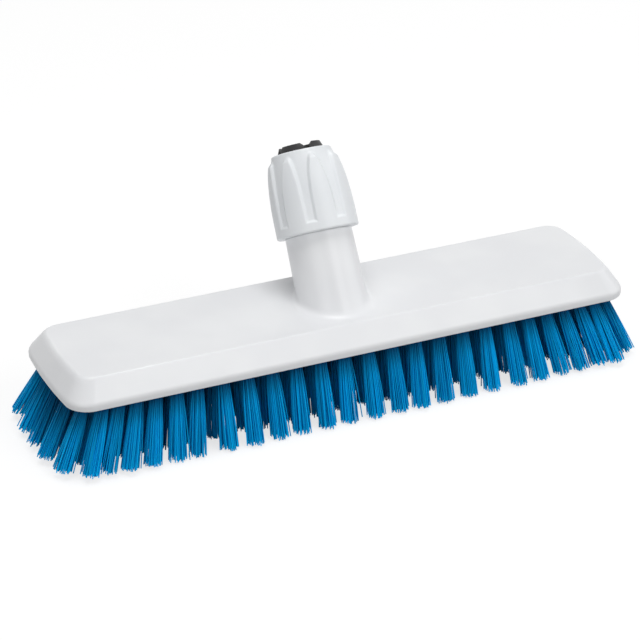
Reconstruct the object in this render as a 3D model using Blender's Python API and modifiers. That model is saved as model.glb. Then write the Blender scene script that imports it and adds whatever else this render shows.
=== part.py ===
"""Deck scrub broom head: a moulded block with an angled handle socket, a
clamp nut over a split collet, and twenty-six banks of splayed bristle tufts.

Metres, +Z up. X runs along the block and +Y is the side that the socket
leans to. The bristle tips stand on z = 0, and the origin lies under the
middle of the whole head.
"""
from math import atan2, cos, pi, radians, sin, sqrt, tan

import bmesh
import bpy
from mathutils import Matrix, Vector

MM = 0.001

# Block
BLOCK_LENGTH = 305 * MM
BLOCK_WIDTH = 75 * MM
BLOCK_HEIGHT = 14.2 * MM
END_BOW = 2.3 * MM            # how far each end bulges past its corners
CORNER_RADIUS = 12 * MM       # seen from above, at the lip
CORNER_TIGHTENING_RATIO = 0.475    # radius lost per unit of inset
LIP_HEIGHT = 3.5 * MM
LIP_ROUND = 1 * MM
SIDE_RUN = 7.7 * MM           # how far the long sides lean in
END_RUN = 6.9 * MM
TOP_ROUND = 1.1 * MM          # flat taken up by the rounded top edge
EDGE_START_SHARE = 0.74       # of the slope, below the rounded top edge
EDGE_STEPS = 3
CORNER_STEPS = 5
END_STEPS = 8
SMOOTH_ANGLE = radians(38)

# Handle socket, along its own leaning axis from the block's top plane
SOCKET_TILT = radians(31)
SOCKET_OFFSET_Y = -2 * MM     # where the axis meets the top plane
SOCKET_RADIUS = 17.75 * MM    # at the top plane
SOCKET_TAPER_RATIO = 0.021    # radius lost per unit of length
SHOULDER_AT = 34 * MM
SPIGOT_LENGTH = 24 * MM       # above the shoulder
SPIGOT_RADIUS = 14.8 * MM
SHOULDER_CHAMFER = 0.4 * MM
FOOT_FILLET = 3.6 * MM
FOOT_LIFT = 0.02 * MM         # the fillet's rim above the top plane
FOOT_STEPS = 4
SKIRT_DEPTH = 3.5 * MM        # of the socket's body inside the block
BORE_RADIUS = 11.3 * MM       # room for the handle below the collet
BORE_FLOOR = 0.5 * MM
MOUTH_DEPTH = 8 * MM
MOUTH_FLARE = 1.8 * MM
ROUND_STEPS = 40

# Screw thread
PITCH = 3 * MM
THREAD_HEIGHT = 1.2 * MM
THREAD_ROOT = 1.5 * MM
THREAD_CREST = 0.7 * MM
SPIGOT_TURNS = 6
NUT_TURNS = 4
THREAD_STEPS = 24             # per turn
THREAD_PHASE = radians(1.5)   # keeps the sections off the edges of the wall's facets
THREAD_RAMP = 8               # steps in which each end of a thread rises
THREAD_START_SHARE = 0.1      # of the height, that the ends start below the wall
THREAD_SINK = 0.4 * MM        # of the thread's foot into its wall

# Clamp nut
NUT_HEIGHT = 41.9 * MM
NUT_RADIUS = 21 * MM
NUT_ROUND = 1.5 * MM
NUT_CHAMFER = 0.6 * MM
BAND_HEIGHT = 4.3 * MM
PETALS = 8
PETAL_DRAW_IN_SHARE = 0.19    # of the petals' radius, lost up to the nut's top
PETAL_CURVE = 2.9             # how late it is lost
CHANNEL_DEPTH = 1.05 * MM     # between the petals' feet
DOME_DRAW_IN_SHARE = 0.245    # the same two for the dome that they stand on
DOME_CURVE = 2.6
PETAL_LEDGE = 0.7 * MM
PETAL_FOOT = 6 * MM
PETAL_TIP_INSET = 2.9 * MM    # from the nut's top down to the petals' tips
PETAL_TIP_LENGTH = 3 * MM     # in which the petal sinks to the dome
PETAL_TIP_RAISED_SHARE = 0.7  # of the rise, left halfway down the tip
PETAL_ROWS = (0.25, 0.5, 0.7, 0.85, 1.0)
PETAL_HALF_ANGLE = radians(15)
PETAL_EDGE_ANGLE = radians(1.8)
PETAL_NARROWS = 3.0           # powers of the petal's outline: how late it
PETAL_BLUNTNESS = 0.62        # narrows and how blunt its tip is
PETAL_TURN = radians(-4.3)
NUT_SKIRT_WALL = 0.6 * MM     # room between thread crests and the nut's wall

# Collet
FINGER_STAND = 3.4 * MM       # of the finger tips out of the nut
COLLET_BORE = 9.5 * MM        # radius, with the fingers drawn in
COLLET_MOUTH_RADIUS = 11.85 * MM
COLLET_TIP_RADIUS = 10.5 * MM
COLLET_SLEEVE = 7 * MM        # length that sits in the socket's mouth
COLLET_CHAMFER = 0.8 * MM
FLANGE_RADIUS = 14 * MM
FLANGE_HEIGHT = 2 * MM
FINGER_ROOT_RADIUS = 12.7 * MM
BEAD_HEIGHT = 0.5 * MM
BEAD_LENGTH = 2 * MM
BEAD_ABOVE_FLANGE = 6 * MM
FINGERS = 4
SLOT_WIDTH = 3.5 * MM
SLOT_TOP_WIDTH = 6.8 * MM
SLOT_FLARE_LENGTH = 1.4 * MM  # down from the finger tips
SLOT_FLOOR_ABOVE_FLANGE = 1.5 * MM
SLOT_TURN = radians(-92.1)

# Bristles
ROW_INSET = 7.5 * MM          # from the block's side to the outer row
ROW_SHARES = (0.207, 0.613, 1.0)       # of the outer row's distance from the middle
END_TUFT_SHARES = (0.0, 0.407, 0.813)
END_COLUMN_INSET = 6.5 * MM   # from the block's end to the last tuft
EVEN_COLUMNS = 7              # each side of the middle, one pitch apart
CLOSING_COLUMNS = 5           # towards the end, drawing together
CLOSING_SHARE = 0.846         # of the pitch, before the first closing column
CLOSING_RATIO = 0.935         # each closing step against the one before
END_GAP_SHARE = 1.015         # of the pitch, before the end column
END_COLUMN_BOW = 3 * MM
FREE_LENGTH = 35.7 * MM       # of a bristle below the block
TRIM = 0.5 * MM               # cut off flat where the tips stand
SIDE_SPLAY_RATIO = 0.314      # sideways reach per unit of drop, outer row
SPLAY_POWER = 1.3
END_SPLAY_RATIO = 0.41        # the same at the end column
UPRIGHT_COLUMNS = 5           # each side of the middle, before the splay to the end
TUFT_ROOT = 1.35 * MM         # strand centres from the tuft's middle
TUFT_TIP = 2.5 * MM
STRANDS = 3
STRAND_SIDES = 4
STRAND_ROOT = 1.1 * MM
STRAND_TIP = 1.75 * MM
STRAND_SINK = 1.2 * MM
TUFT_TWIST = radians(137.5)

# Backing slices that hold the tufts
SLICE_THICKNESS = 3 * MM
SLICE_HALF_WIDTH = 3.2 * MM
SLICE_OVERHANG = 3.6 * MM     # past the outermost tuft's middle

BOW_STEPS = 6

CLEARANCE = 0.3 * MM
CUT_PAST = 2 * MM             # how far a cutter runs out of the piece
ROUND_OVER_STEPS = 3          # in a quarter round

# Worked out from the sizes above
UNDERSIDE_Z = FREE_LENGTH - TRIM
TOP_Z = UNDERSIDE_Z + BLOCK_HEIGHT
SPIGOT_TOP = SHOULDER_AT + SPIGOT_LENGTH
NUT_BOTTOM = SHOULDER_AT + CLEARANCE
NUT_TOP = NUT_BOTTOM + NUT_HEIGHT
PETAL_TIP = NUT_HEIGHT - PETAL_TIP_INSET
PETAL_FULL = PETAL_TIP - PETAL_TIP_LENGTH
COLLET_TOP = NUT_TOP + FINGER_STAND
FLANGE_BOTTOM = SPIGOT_TOP + CLEARANCE
FLANGE_TOP = FLANGE_BOTTOM + FLANGE_HEIGHT
THREAD_RADIUS = SPIGOT_RADIUS + THREAD_HEIGHT
NUT_BORE_RADIUS = THREAD_RADIUS + NUT_SKIRT_WALL
OUTER_ROW = BLOCK_WIDTH / 2 - ROW_INSET
END_COLUMN_X = BLOCK_LENGTH / 2 - END_COLUMN_INSET
CLOSING_STEPS = [CLOSING_SHARE * CLOSING_RATIO ** k for k in range(CLOSING_COLUMNS)]
COLUMN_PITCH = END_COLUMN_X / (EVEN_COLUMNS - 0.5 + sum(CLOSING_STEPS) + END_GAP_SHARE)


def petal_radius(height):
    """Radius over the petals at a height above the nut's lower face."""
    return NUT_RADIUS * (1 - PETAL_DRAW_IN_SHARE * (height / NUT_HEIGHT) ** PETAL_CURVE)


def dome_radius(height):
    """Radius between the petals and above their tips."""
    foot = NUT_RADIUS - CHANNEL_DEPTH
    return foot * (1 - DOME_DRAW_IN_SHARE * (height / NUT_HEIGHT) ** DOME_CURVE)


FRONT_REACH = (OUTER_ROW + FREE_LENGTH * sin(atan2(SIDE_SPLAY_RATIO, 1))
               + TUFT_TIP + STRAND_TIP)
REAR_REACH = (SOCKET_OFFSET_Y + (NUT_BOTTOM + PETAL_FULL) * sin(SOCKET_TILT)
              + petal_radius(PETAL_FULL) * cos(SOCKET_TILT))
BLOCK_Y = (FRONT_REACH - REAR_REACH) / 2


def new_collection(name):
    collection = bpy.data.collections.new(name)
    bpy.context.scene.collection.children.link(collection)
    return collection


def new_material(name, colour, roughness):
    material = bpy.data.materials.new(name)
    material.use_nodes = True
    shader = material.node_tree.nodes["Principled BSDF"]
    shader.inputs["Base Color"].default_value = (*colour, 1.0)
    shader.inputs["Roughness"].default_value = roughness
    shader.inputs["Metallic"].default_value = 0.0
    material.diffuse_color = (*colour, 1.0)
    return material


def new_object(name, bm, collection, parent, smooth=False):
    """Turn a bmesh into an object that hangs on the given empty."""
    mesh = bpy.data.meshes.new(name)
    bmesh.ops.recalc_face_normals(bm, faces=bm.faces)
    bm.to_mesh(mesh)
    bm.free()
    if smooth:
        mesh.shade_smooth()
        mesh.set_sharp_from_angle(angle=SMOOTH_ANGLE)
    obj = bpy.data.objects.new(name, mesh)
    collection.objects.link(obj)
    obj.parent = parent
    return obj


def new_empty(name, collection, location, tilt=0.0, parent=None):
    empty = bpy.data.objects.new(name, None)
    empty.location = location
    empty.rotation_euler = (-tilt, 0, 0)
    empty.parent = parent
    collection.objects.link(empty)
    return empty


def finish(obj, material):
    """Give a finished piece its material, and let its large faces shade flat."""
    obj.modifiers.new("Shading", "WEIGHTED_NORMAL").keep_sharp = True
    obj.data.materials.clear()
    obj.data.materials.append(material)


def hide_cutter(obj):
    obj.hide_render = True
    obj.display_type = "WIRE"
    return obj


def boolean(obj, other, operation):
    modifier = obj.modifiers.new(other.name, "BOOLEAN")
    modifier.operation = operation
    modifier.solver = "EXACT"
    modifier.object = other


def loft_into(bm, rings):
    """Skin closed rings of equal counts and cap both ends."""
    loops = [[bm.verts.new(point) for point in ring] for ring in rings]
    for low, high in zip(loops, loops[1:]):
        for i in range(len(low)):
            j = (i + 1) % len(low)
            bm.faces.new((low[i], low[j], high[j], high[i]))
    bm.faces.new(loops[0])
    bm.faces.new(loops[-1])


def turned(name, profile, collection, parent, closed=False):
    """A turned solid from (radius, height) points, outer side top first."""
    bm = bmesh.new()
    verts = [bm.verts.new((radius, 0, height)) for radius, height in profile]
    for a, b in zip(verts, verts[1:]):
        bm.edges.new((a, b))
    if closed:
        bm.edges.new((verts[-1], verts[0]))
    mesh = bpy.data.meshes.new(name)
    bm.to_mesh(mesh)
    bm.free()
    obj = bpy.data.objects.new(name, mesh)
    collection.objects.link(obj)
    obj.parent = parent
    screw = obj.modifiers.new("Turn", "SCREW")
    screw.steps = screw.render_steps = ROUND_STEPS
    screw.use_merge_vertices = True
    screw.merge_threshold = 0.00001
    screw.use_smooth_shade = True
    return obj


def arc(centre, radius, start, end, steps):
    """Points of an arc, end point left out."""
    angles = [start + (end - start) * k / steps for k in range(steps)]
    return [(centre[0] + radius * cos(a), centre[1] + radius * sin(a)) for a in angles]


def block_outline(side_inset, end_inset, corner):
    """The block seen from above: straight sides, bowed ends, round corners."""
    half_length = BLOCK_LENGTH / 2 - end_inset
    half_width = BLOCK_WIDTH / 2 - side_inset
    bow_radius = (half_width ** 2 + END_BOW ** 2) / (2 * END_BOW)
    bow_x = half_length - bow_radius
    corner_y = half_width - corner
    corner_x = bow_x + sqrt((bow_radius - corner) ** 2 - corner_y ** 2)
    turn = atan2(corner_y, corner_x - bow_x)
    end = arc((corner_x, -corner_y), corner, -pi / 2, -turn, CORNER_STEPS)
    end += arc((bow_x, 0), bow_radius, -turn, turn, END_STEPS)
    end += arc((corner_x, corner_y), corner, turn, pi / 2, CORNER_STEPS)
    end.append((corner_x, half_width))
    return end + [(-x, -y) for x, y in end]


def block_ring(side_inset, end_inset, z):
    corner = CORNER_RADIUS - CORNER_TIGHTENING_RATIO * side_inset
    return [Vector((x, y, z)) for x, y in block_outline(side_inset, end_inset, corner)]


def block_rings():
    rings = []
    for k in range(ROUND_OVER_STEPS + 1):
        angle = pi / 2 * k / ROUND_OVER_STEPS
        inset = LIP_ROUND * (1 - sin(angle))
        rings.append(block_ring(inset, inset, UNDERSIDE_Z + LIP_ROUND * (1 - cos(angle))))
    slope = BLOCK_HEIGHT - LIP_HEIGHT
    rings.append(block_ring(0, 0, UNDERSIDE_Z + LIP_HEIGHT))
    # The rounded top edge is a curve from the slope to the flat top.
    for k in range(EDGE_STEPS + 1):
        t = k / EDGE_STEPS
        share = 1 - (1 - t) ** 2 * (1 - EDGE_START_SHARE)
        flat = t * t * TOP_ROUND
        z = UNDERSIDE_Z + LIP_HEIGHT + slope * share
        rings.append(block_ring(share * SIDE_RUN + flat, share * END_RUN + flat, z))
    return rings


def socket_radius(along):
    return SOCKET_RADIUS - SOCKET_TAPER_RATIO * along


def axis_point(radius, angle, along):
    """A point of the head's frame from polar places round the socket axis."""
    side = radius * sin(angle)
    y = BLOCK_Y + SOCKET_OFFSET_Y + along * sin(SOCKET_TILT) + side * cos(SOCKET_TILT)
    z = TOP_Z + along * cos(SOCKET_TILT) - side * sin(SOCKET_TILT)
    return Vector((radius * cos(angle), y, z))


def socket_rings():
    """The socket's outside, from a skirt inside the block to the spigot."""
    rings = [[] for _ in range(FOOT_STEPS + 2)]
    for k in range(ROUND_STEPS):
        angle = 2 * pi * k / ROUND_STEPS
        lean = sin(angle) * tan(SOCKET_TILT)
        foot_at = SOCKET_RADIUS * lean / (1 + SOCKET_TAPER_RATIO * lean)
        foot = axis_point(socket_radius(foot_at), angle, foot_at)
        out = Vector((cos(angle), sin(angle) * cos(SOCKET_TILT), 0)).normalized()
        low = foot + out * FOOT_FILLET
        high_at = foot_at + FOOT_FILLET
        high = axis_point(socket_radius(high_at), angle, high_at)
        rings[0].append(low - Vector((0, 0, SKIRT_DEPTH)))
        for step in range(FOOT_STEPS + 1):
            t = step / FOOT_STEPS
            point = (1 - t) ** 2 * low + 2 * t * (1 - t) * foot + t * t * high
            rings[step + 1].append(point + Vector((0, 0, FOOT_LIFT * (1 - t))))
    shoulder = socket_radius(SHOULDER_AT)
    for radius, along in ((shoulder, SHOULDER_AT - SHOULDER_CHAMFER),
                          (shoulder - SHOULDER_CHAMFER, SHOULDER_AT),
                          (SPIGOT_RADIUS, SHOULDER_AT), (SPIGOT_RADIUS, SPIGOT_TOP)):
        angles = [2 * pi * k / ROUND_STEPS for k in range(ROUND_STEPS)]
        rings.append([axis_point(radius, angle, along) for angle in angles])
    return rings


def helix_rings(base, crest, bottom, turns):
    """Sections of a thread that rises out of its wall and sinks back."""
    rings = []
    total = turns * THREAD_STEPS
    sink = THREAD_SINK if crest > base else -THREAD_SINK
    for k in range(total + 1):
        share = min(1.0, k / THREAD_RAMP, (total - k) / THREAD_RAMP)
        top = base + (crest - base) * (share * (1 + THREAD_START_SHARE)
                                         - THREAD_START_SHARE)
        half_crest = THREAD_CREST / 2 + (THREAD_ROOT - THREAD_CREST) / 2 * (1 - share)
        angle = THREAD_PHASE + 2 * pi * k / THREAD_STEPS
        along = bottom + PITCH * k / THREAD_STEPS
        half_root = THREAD_ROOT / 2
        section = ((base - sink, -half_root), (top, -half_crest), (top, half_crest),
                   (base - sink, half_root))
        rings.append([Vector((r * cos(angle), r * sin(angle), along + z)) for r, z in section])
    return rings


def mouth_radius(along):
    """Radius of the socket's bore, which flares at the mouth."""
    rise = max(0.0, along - (SPIGOT_TOP - MOUTH_DEPTH))
    return BORE_RADIUS + MOUTH_FLARE * rise / MOUTH_DEPTH


def bank_layout():
    """Each bank as (x, bow, tuft y places), from the -X end to the +X end."""
    xs = [COLUMN_PITCH * (k + 0.5) for k in range(EVEN_COLUMNS)]
    for step in CLOSING_STEPS:
        xs.append(xs[-1] + COLUMN_PITCH * step)
    rows = sorted(side * share * OUTER_ROW for side in (-1, 1) for share in ROW_SHARES)
    ends = sorted({side * share * OUTER_ROW for side in (-1, 1) for share in END_TUFT_SHARES})
    half = [(x, 0.0, rows) for x in xs] + [(END_COLUMN_X, END_COLUMN_BOW, ends)]
    return [(-x, -bow, ys) for x, bow, ys in reversed(half)] + half


def bowed_x(x, bow, y, reach):
    return x - bow * (y / reach) ** 2


def strip_ring(x, bow, reach, half_width, half_length, z):
    """Outline of a backing slice: straight, or bowed like the block's end."""
    steps = BOW_STEPS if bow else 1
    ys = [-half_length + 2 * half_length * k / steps for k in range(steps + 1)]
    right = [Vector((bowed_x(x, bow, y, reach) + half_width, BLOCK_Y + y, z)) for y in ys]
    left = [Vector((bowed_x(x, bow, y, reach) - half_width, BLOCK_Y + y, z)) for y in ys]
    return right + left[::-1]


def strip_rings(x, bow, ys, clearance, bottom, top):
    half_width = SLICE_HALF_WIDTH + clearance
    half_length = ys[-1] + SLICE_OVERHANG + clearance
    return [strip_ring(x, bow, ys[-1], half_width, half_length, z) for z in (bottom, top)]


def splay(x, y):
    """Sideways reach per unit of drop of the tuft rooted at x, y."""
    fan_start = COLUMN_PITCH * UPRIGHT_COLUMNS
    fan = max(0.0, (abs(x) - fan_start) / (END_COLUMN_X - fan_start)) * END_SPLAY_RATIO
    lean = SIDE_SPLAY_RATIO * (abs(y) / OUTER_ROW) ** SPLAY_POWER
    return (fan if x > 0 else -fan), (lean if y > 0 else -lean)


def add_tuft(bm, x, y, number):
    """Strands of one tuft: sheared tapering prisms with level ends."""
    lean_x, lean_y = splay(x, y)
    drop = min(FREE_LENGTH / sqrt(1 + lean_x ** 2 + lean_y ** 2), UNDERSIDE_Z)
    top = UNDERSIDE_Z + STRAND_SINK
    bottom = UNDERSIDE_Z - drop
    for k in range(STRANDS):
        angle = number * TUFT_TWIST + 2 * pi * k / STRANDS
        spread = (TUFT_TIP - TUFT_ROOT) / drop
        shear_x = lean_x + spread * cos(angle)
        shear_y = lean_y + spread * sin(angle)
        shear = Matrix(((1, 0, -shear_x, 0), (0, 1, -shear_y, 0), (0, 0, 1, 0), (0, 0, 0, 1)))
        middle = (top + bottom) / 2
        reach = UNDERSIDE_Z - middle
        place = Vector((x + TUFT_ROOT * cos(angle) + shear_x * reach,
                        BLOCK_Y + y + TUFT_ROOT * sin(angle) + shear_y * reach, middle))
        matrix = Matrix.Translation(place) @ shear @ Matrix.Rotation(angle, 4, "Z")
        bmesh.ops.create_cone(bm, cap_ends=True, cap_tris=False, segments=STRAND_SIDES,
                              radius1=STRAND_TIP, radius2=STRAND_ROOT, depth=top - bottom,
                              matrix=matrix)


def petal_half_angle(height):
    share = (height - PETAL_FOOT) / (PETAL_TIP - PETAL_FOOT)
    share = min(max(share, 0.0), 1.0)
    half = PETAL_HALF_ANGLE * (1 - share ** PETAL_NARROWS) ** PETAL_BLUNTNESS
    return max(half, PETAL_EDGE_ANGLE)


def nut_ring(height, inset, petals, channels):
    """One ring round the nut; petals and channels say how far each is raised."""
    half = petal_half_angle(height)
    step = 2 * pi / PETALS
    offsets = ((-step / 2, channels), (-half - PETAL_EDGE_ANGLE, channels), (-half, petals),
               (-half / 2, petals), (0.0, petals), (half / 2, petals), (half, petals),
               (half + PETAL_EDGE_ANGLE, channels))
    ring = []
    for k in range(PETALS):
        for offset, raised in offsets:
            dome = dome_radius(height)
            radius = dome + (petal_radius(height) - dome) * raised - inset
            angle = PETAL_TURN + k * step + offset
            ring.append(Vector((radius * cos(angle), radius * sin(angle), NUT_BOTTOM + height)))
    return ring


def nut_rings():
    ledge = BAND_HEIGHT + PETAL_LEDGE
    rows = [(0.0, NUT_CHAMFER, 1, 1), (NUT_CHAMFER, 0.0, 1, 1), (BAND_HEIGHT, 0.0, 1, 1),
            (ledge, 0.0, 1, 0)]
    for share in PETAL_ROWS:
        rows.append((ledge + (PETAL_FULL - ledge) * share, 0.0, 1, 0))
    rows.append(((PETAL_FULL + PETAL_TIP) / 2, 0.0, PETAL_TIP_RAISED_SHARE, 0))
    rows.append((PETAL_TIP, 0.0, 0, 0))
    rings = [nut_ring(*row) for row in rows]
    base = NUT_HEIGHT - NUT_ROUND
    for k in range(ROUND_OVER_STEPS + 1):
        angle = pi / 2 * k / ROUND_OVER_STEPS
        height = base + NUT_ROUND * sin(angle)
        drawn = dome_radius(height) - dome_radius(base)
        rings.append(nut_ring(height, drawn + NUT_ROUND * (1 - cos(angle)), 0, 0))
    return rings


def collet_radius(along):
    """Outer radius of the fingers, tapering from the flange to the mouth."""
    share = (along - FLANGE_TOP) / (NUT_TOP - FLANGE_TOP)
    return FINGER_ROOT_RADIUS + (COLLET_MOUTH_RADIUS - FINGER_ROOT_RADIUS) * share


def bead_points(gap):
    """The bead on the fingers, or with a gap the groove that holds it."""
    low = FLANGE_TOP + BEAD_ABOVE_FLANGE
    high = low + BEAD_LENGTH
    return [(collet_radius(high + gap) + gap, high + gap),
            (collet_radius(high) + BEAD_HEIGHT + gap, high - BEAD_HEIGHT + gap),
            (collet_radius(low) + BEAD_HEIGHT + gap, low + BEAD_HEIGHT - gap),
            (collet_radius(low - gap) + gap, low - gap)]


def make_block(pieces, cutters, head, axis, material):
    bm = bmesh.new()
    loft_into(bm, [[p + Vector((0, BLOCK_Y, 0)) for p in ring] for ring in block_rings()])
    block = new_object("head_block", bm, pieces, head, smooth=True)
    bm = bmesh.new()
    loft_into(bm, socket_rings())
    socket = new_object("socket_outside", bm, cutters, head, smooth=True)
    boolean(block, hide_cutter(socket), "UNION")
    bm = bmesh.new()
    middle = (SHOULDER_AT + SPIGOT_TOP - SPIGOT_TURNS * PITCH) / 2
    loft_into(bm, helix_rings(SPIGOT_RADIUS, THREAD_RADIUS, middle, SPIGOT_TURNS))
    boolean(block, hide_cutter(new_object("spigot_thread", bm, cutters, axis)), "UNION")
    past = SPIGOT_TOP + CUT_PAST
    profile = [(0, past), (mouth_radius(past), past),
               (BORE_RADIUS, SPIGOT_TOP - MOUTH_DEPTH), (BORE_RADIUS, BORE_FLOOR), (0, BORE_FLOOR)]
    bore = turned("handle_bore", profile, cutters, axis)
    boolean(block, hide_cutter(bore), "DIFFERENCE")
    bm = bmesh.new()
    for x, bow, ys in bank_layout():
        loft_into(bm, strip_rings(x, bow, ys, CLEARANCE, UNDERSIDE_Z - CUT_PAST,
                                  UNDERSIDE_Z + SLICE_THICKNESS + CLEARANCE))
    boolean(block, hide_cutter(new_object("slice_pockets", bm, cutters, head)), "DIFFERENCE")
    finish(block, material)


def make_banks(pieces, cutters, head, material):
    number = 0
    for index, (x, bow, ys) in enumerate(bank_layout(), start=1):
        bm = bmesh.new()
        loft_into(bm, strip_rings(x, bow, ys, 0.0, UNDERSIDE_Z, UNDERSIDE_Z + SLICE_THICKNESS))
        bank = new_object(f"tuft_bank_{index:02d}", bm, pieces, head)
        bm = bmesh.new()
        for y in ys:
            add_tuft(bm, bowed_x(x, bow, y, ys[-1]), y, number)
            number += 1
        strands = new_object(f"strands_{index:02d}", bm, cutters, head)
        boolean(bank, hide_cutter(strands), "UNION")
        finish(bank, material)


def make_nut(pieces, cutters, axis, material):
    bm = bmesh.new()
    loft_into(bm, nut_rings())
    nut = new_object("clamp_nut", bm, pieces, axis, smooth=True)
    flange_room = FLANGE_TOP + CLEARANCE
    seat = FLANGE_RADIUS + CLEARANCE
    profile = [(0, NUT_TOP + CUT_PAST),
               (collet_radius(NUT_TOP) + CLEARANCE, NUT_TOP + CUT_PAST),
               (collet_radius(NUT_TOP) + CLEARANCE, NUT_TOP)]
    profile += bead_points(CLEARANCE)
    profile += [(collet_radius(flange_room) + CLEARANCE, flange_room), (seat, flange_room),
                (seat, FLANGE_TOP), (NUT_BORE_RADIUS, FLANGE_BOTTOM),
                (NUT_BORE_RADIUS, NUT_BOTTOM - CUT_PAST), (0, NUT_BOTTOM - CUT_PAST)]
    boolean(nut, hide_cutter(turned("nut_bore", profile, cutters, axis)), "DIFFERENCE")
    bm = bmesh.new()
    middle = (SHOULDER_AT + SPIGOT_TOP - NUT_TURNS * PITCH) / 2 + PITCH / 2
    crest = SPIGOT_RADIUS + (NUT_BORE_RADIUS - THREAD_RADIUS)
    loft_into(bm, helix_rings(NUT_BORE_RADIUS, crest, middle, NUT_TURNS))
    boolean(nut, hide_cutter(new_object("nut_thread", bm, cutters, axis)), "UNION")
    finish(nut, material)


def make_collet(pieces, cutters, axis, material):
    sleeve_bottom = SPIGOT_TOP - COLLET_SLEEVE
    mouth = [(mouth_radius(SPIGOT_TOP) - CLEARANCE, SPIGOT_TOP),
             (mouth_radius(sleeve_bottom + COLLET_CHAMFER) - CLEARANCE,
              sleeve_bottom + COLLET_CHAMFER),
             (mouth_radius(sleeve_bottom) - CLEARANCE - COLLET_CHAMFER / 2, sleeve_bottom)]
    profile = [(COLLET_TIP_RADIUS, COLLET_TOP), (COLLET_MOUTH_RADIUS, NUT_TOP)]
    profile += bead_points(0.0)
    profile += [(FINGER_ROOT_RADIUS, FLANGE_TOP), (FLANGE_RADIUS, FLANGE_TOP),
                (FLANGE_RADIUS, FLANGE_BOTTOM), (mouth[0][0], FLANGE_BOTTOM)]
    profile += mouth[1:]
    profile += [(COLLET_BORE, sleeve_bottom), (COLLET_BORE, COLLET_TOP)]
    collet = turned("collet", profile, pieces, axis, closed=True)
    bm = bmesh.new()
    inner = COLLET_BORE - CUT_PAST
    outer = FLANGE_RADIUS + CUT_PAST
    slot_floor = FLANGE_TOP + SLOT_FLOOR_ABOVE_FLANGE
    widths = ((slot_floor, SLOT_WIDTH), (COLLET_TOP - SLOT_FLARE_LENGTH, SLOT_WIDTH),
              (COLLET_TOP + CLEARANCE, SLOT_TOP_WIDTH))
    for k in range(FINGERS):
        turn = Matrix.Rotation(SLOT_TURN + 2 * pi * k / FINGERS, 3, "Z")
        rings = []
        for along, width in widths:
            corners = ((inner, -width / 2), (outer, -width / 2), (outer, width / 2),
                       (inner, width / 2))
            rings.append([turn @ Vector((x, y, along)) for x, y in corners])
        loft_into(bm, rings)
    boolean(collet, hide_cutter(new_object("finger_slots", bm, cutters, axis)), "DIFFERENCE")
    finish(collet, material)


def main():
    for obj in list(bpy.data.objects):
        bpy.data.objects.remove(obj, do_unlink=True)
    pieces = new_collection("broom_head")
    cutters = new_collection("cutters")
    head = new_empty("head", pieces, (0, 0, 0))
    axis_foot = axis_point(0.0, 0.0, 0.0)
    axis = new_empty("socket_axis", pieces, axis_foot, SOCKET_TILT, head)
    white = new_material("white_plastic", (0.82, 0.83, 0.85), 0.35)
    nut_white = new_material("nut_plastic", (0.76, 0.79, 0.82), 0.35)
    black = new_material("black_plastic", (0.02, 0.02, 0.022), 0.4)
    blue = new_material("blue_bristle", (0.0, 0.15, 0.45), 0.45)
    make_block(pieces, cutters, head, axis, white)
    make_nut(pieces, cutters, axis, nut_white)
    make_collet(pieces, cutters, axis, black)
    make_banks(pieces, cutters, head, blue)


main()
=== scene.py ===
"""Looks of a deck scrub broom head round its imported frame.

White moulded block with a slanted handle socket, a petalled clamp nut over a
black split collet, and tufts of blue filaments. Metres, +Z up; the bristle
tips stand on z = 0.
"""

from math import atan2, cos, pi, radians, sin, sqrt, tan
from random import Random

import bmesh
import bpy
from mathutils import Matrix, Vector


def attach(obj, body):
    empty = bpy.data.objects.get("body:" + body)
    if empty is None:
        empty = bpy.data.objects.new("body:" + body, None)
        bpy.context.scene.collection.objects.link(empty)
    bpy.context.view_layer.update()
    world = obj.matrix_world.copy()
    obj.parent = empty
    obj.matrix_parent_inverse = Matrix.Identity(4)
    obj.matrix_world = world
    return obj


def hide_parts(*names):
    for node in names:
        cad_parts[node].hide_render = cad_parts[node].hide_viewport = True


MM = 0.001

# Block
BLOCK_LENGTH = 305 * MM
BLOCK_WIDTH = 75 * MM
BLOCK_HEIGHT = 14.2 * MM
END_BOW = 2.3 * MM
CORNER_RADIUS = 12 * MM
CORNER_TIGHTENS = 0.475       # radius lost against how far the sides go in
LIP_HEIGHT = 3.5 * MM
LIP_ROUND = 0.6 * MM
LIP_CREASE = 1.3 * MM         # half the height of the round above the lip
CREASE_STEPS = 5
SIDE_RUN = 7.7 * MM           # how far the sides slope in
END_RUN = 6.9 * MM            # how far the ends slope in
END_TOP_ROUND = 1.3 * MM      # flat taken up by the rounded top edge
END_ROUND_STARTS = 0.74       # share of the slope below the rounded top edge
SIDE_TOP_ROUND = 0.7 * MM
SIDE_ROUND_STARTS = 0.89
EDGE_STEPS = 12
CORNER_STEPS = 18
END_STEPS = 40
ROUND_OVER_STEPS = 6

# Handle socket, along its own leaning axis from the block's top plane
SOCKET_TILT = radians(31)
SOCKET_OFFSET_Y = -2 * MM
SOCKET_RADIUS = 17.75 * MM
SOCKET_TAPER = 0.021          # radius lost against the way up the axis
SHOULDER_AT = 34 * MM
SHOULDER_CHAMFER = 0.15 * MM
SPIGOT_TOP = 58 * MM
SPIGOT_RADIUS = 14.8 * MM
FOOT_FILLET = 3.6 * MM
FOOT_LIFT = 0.02 * MM
FOOT_STEPS = 12
SKIRT_DEPTH = 3.5 * MM
BORE_RADIUS = 11.3 * MM
BORE_FLOOR = 0.5 * MM
MOUTH_DEPTH = 8 * MM
MOUTH_FLARE = 1.8 * MM
SOCKET_STEPS = 144

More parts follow.
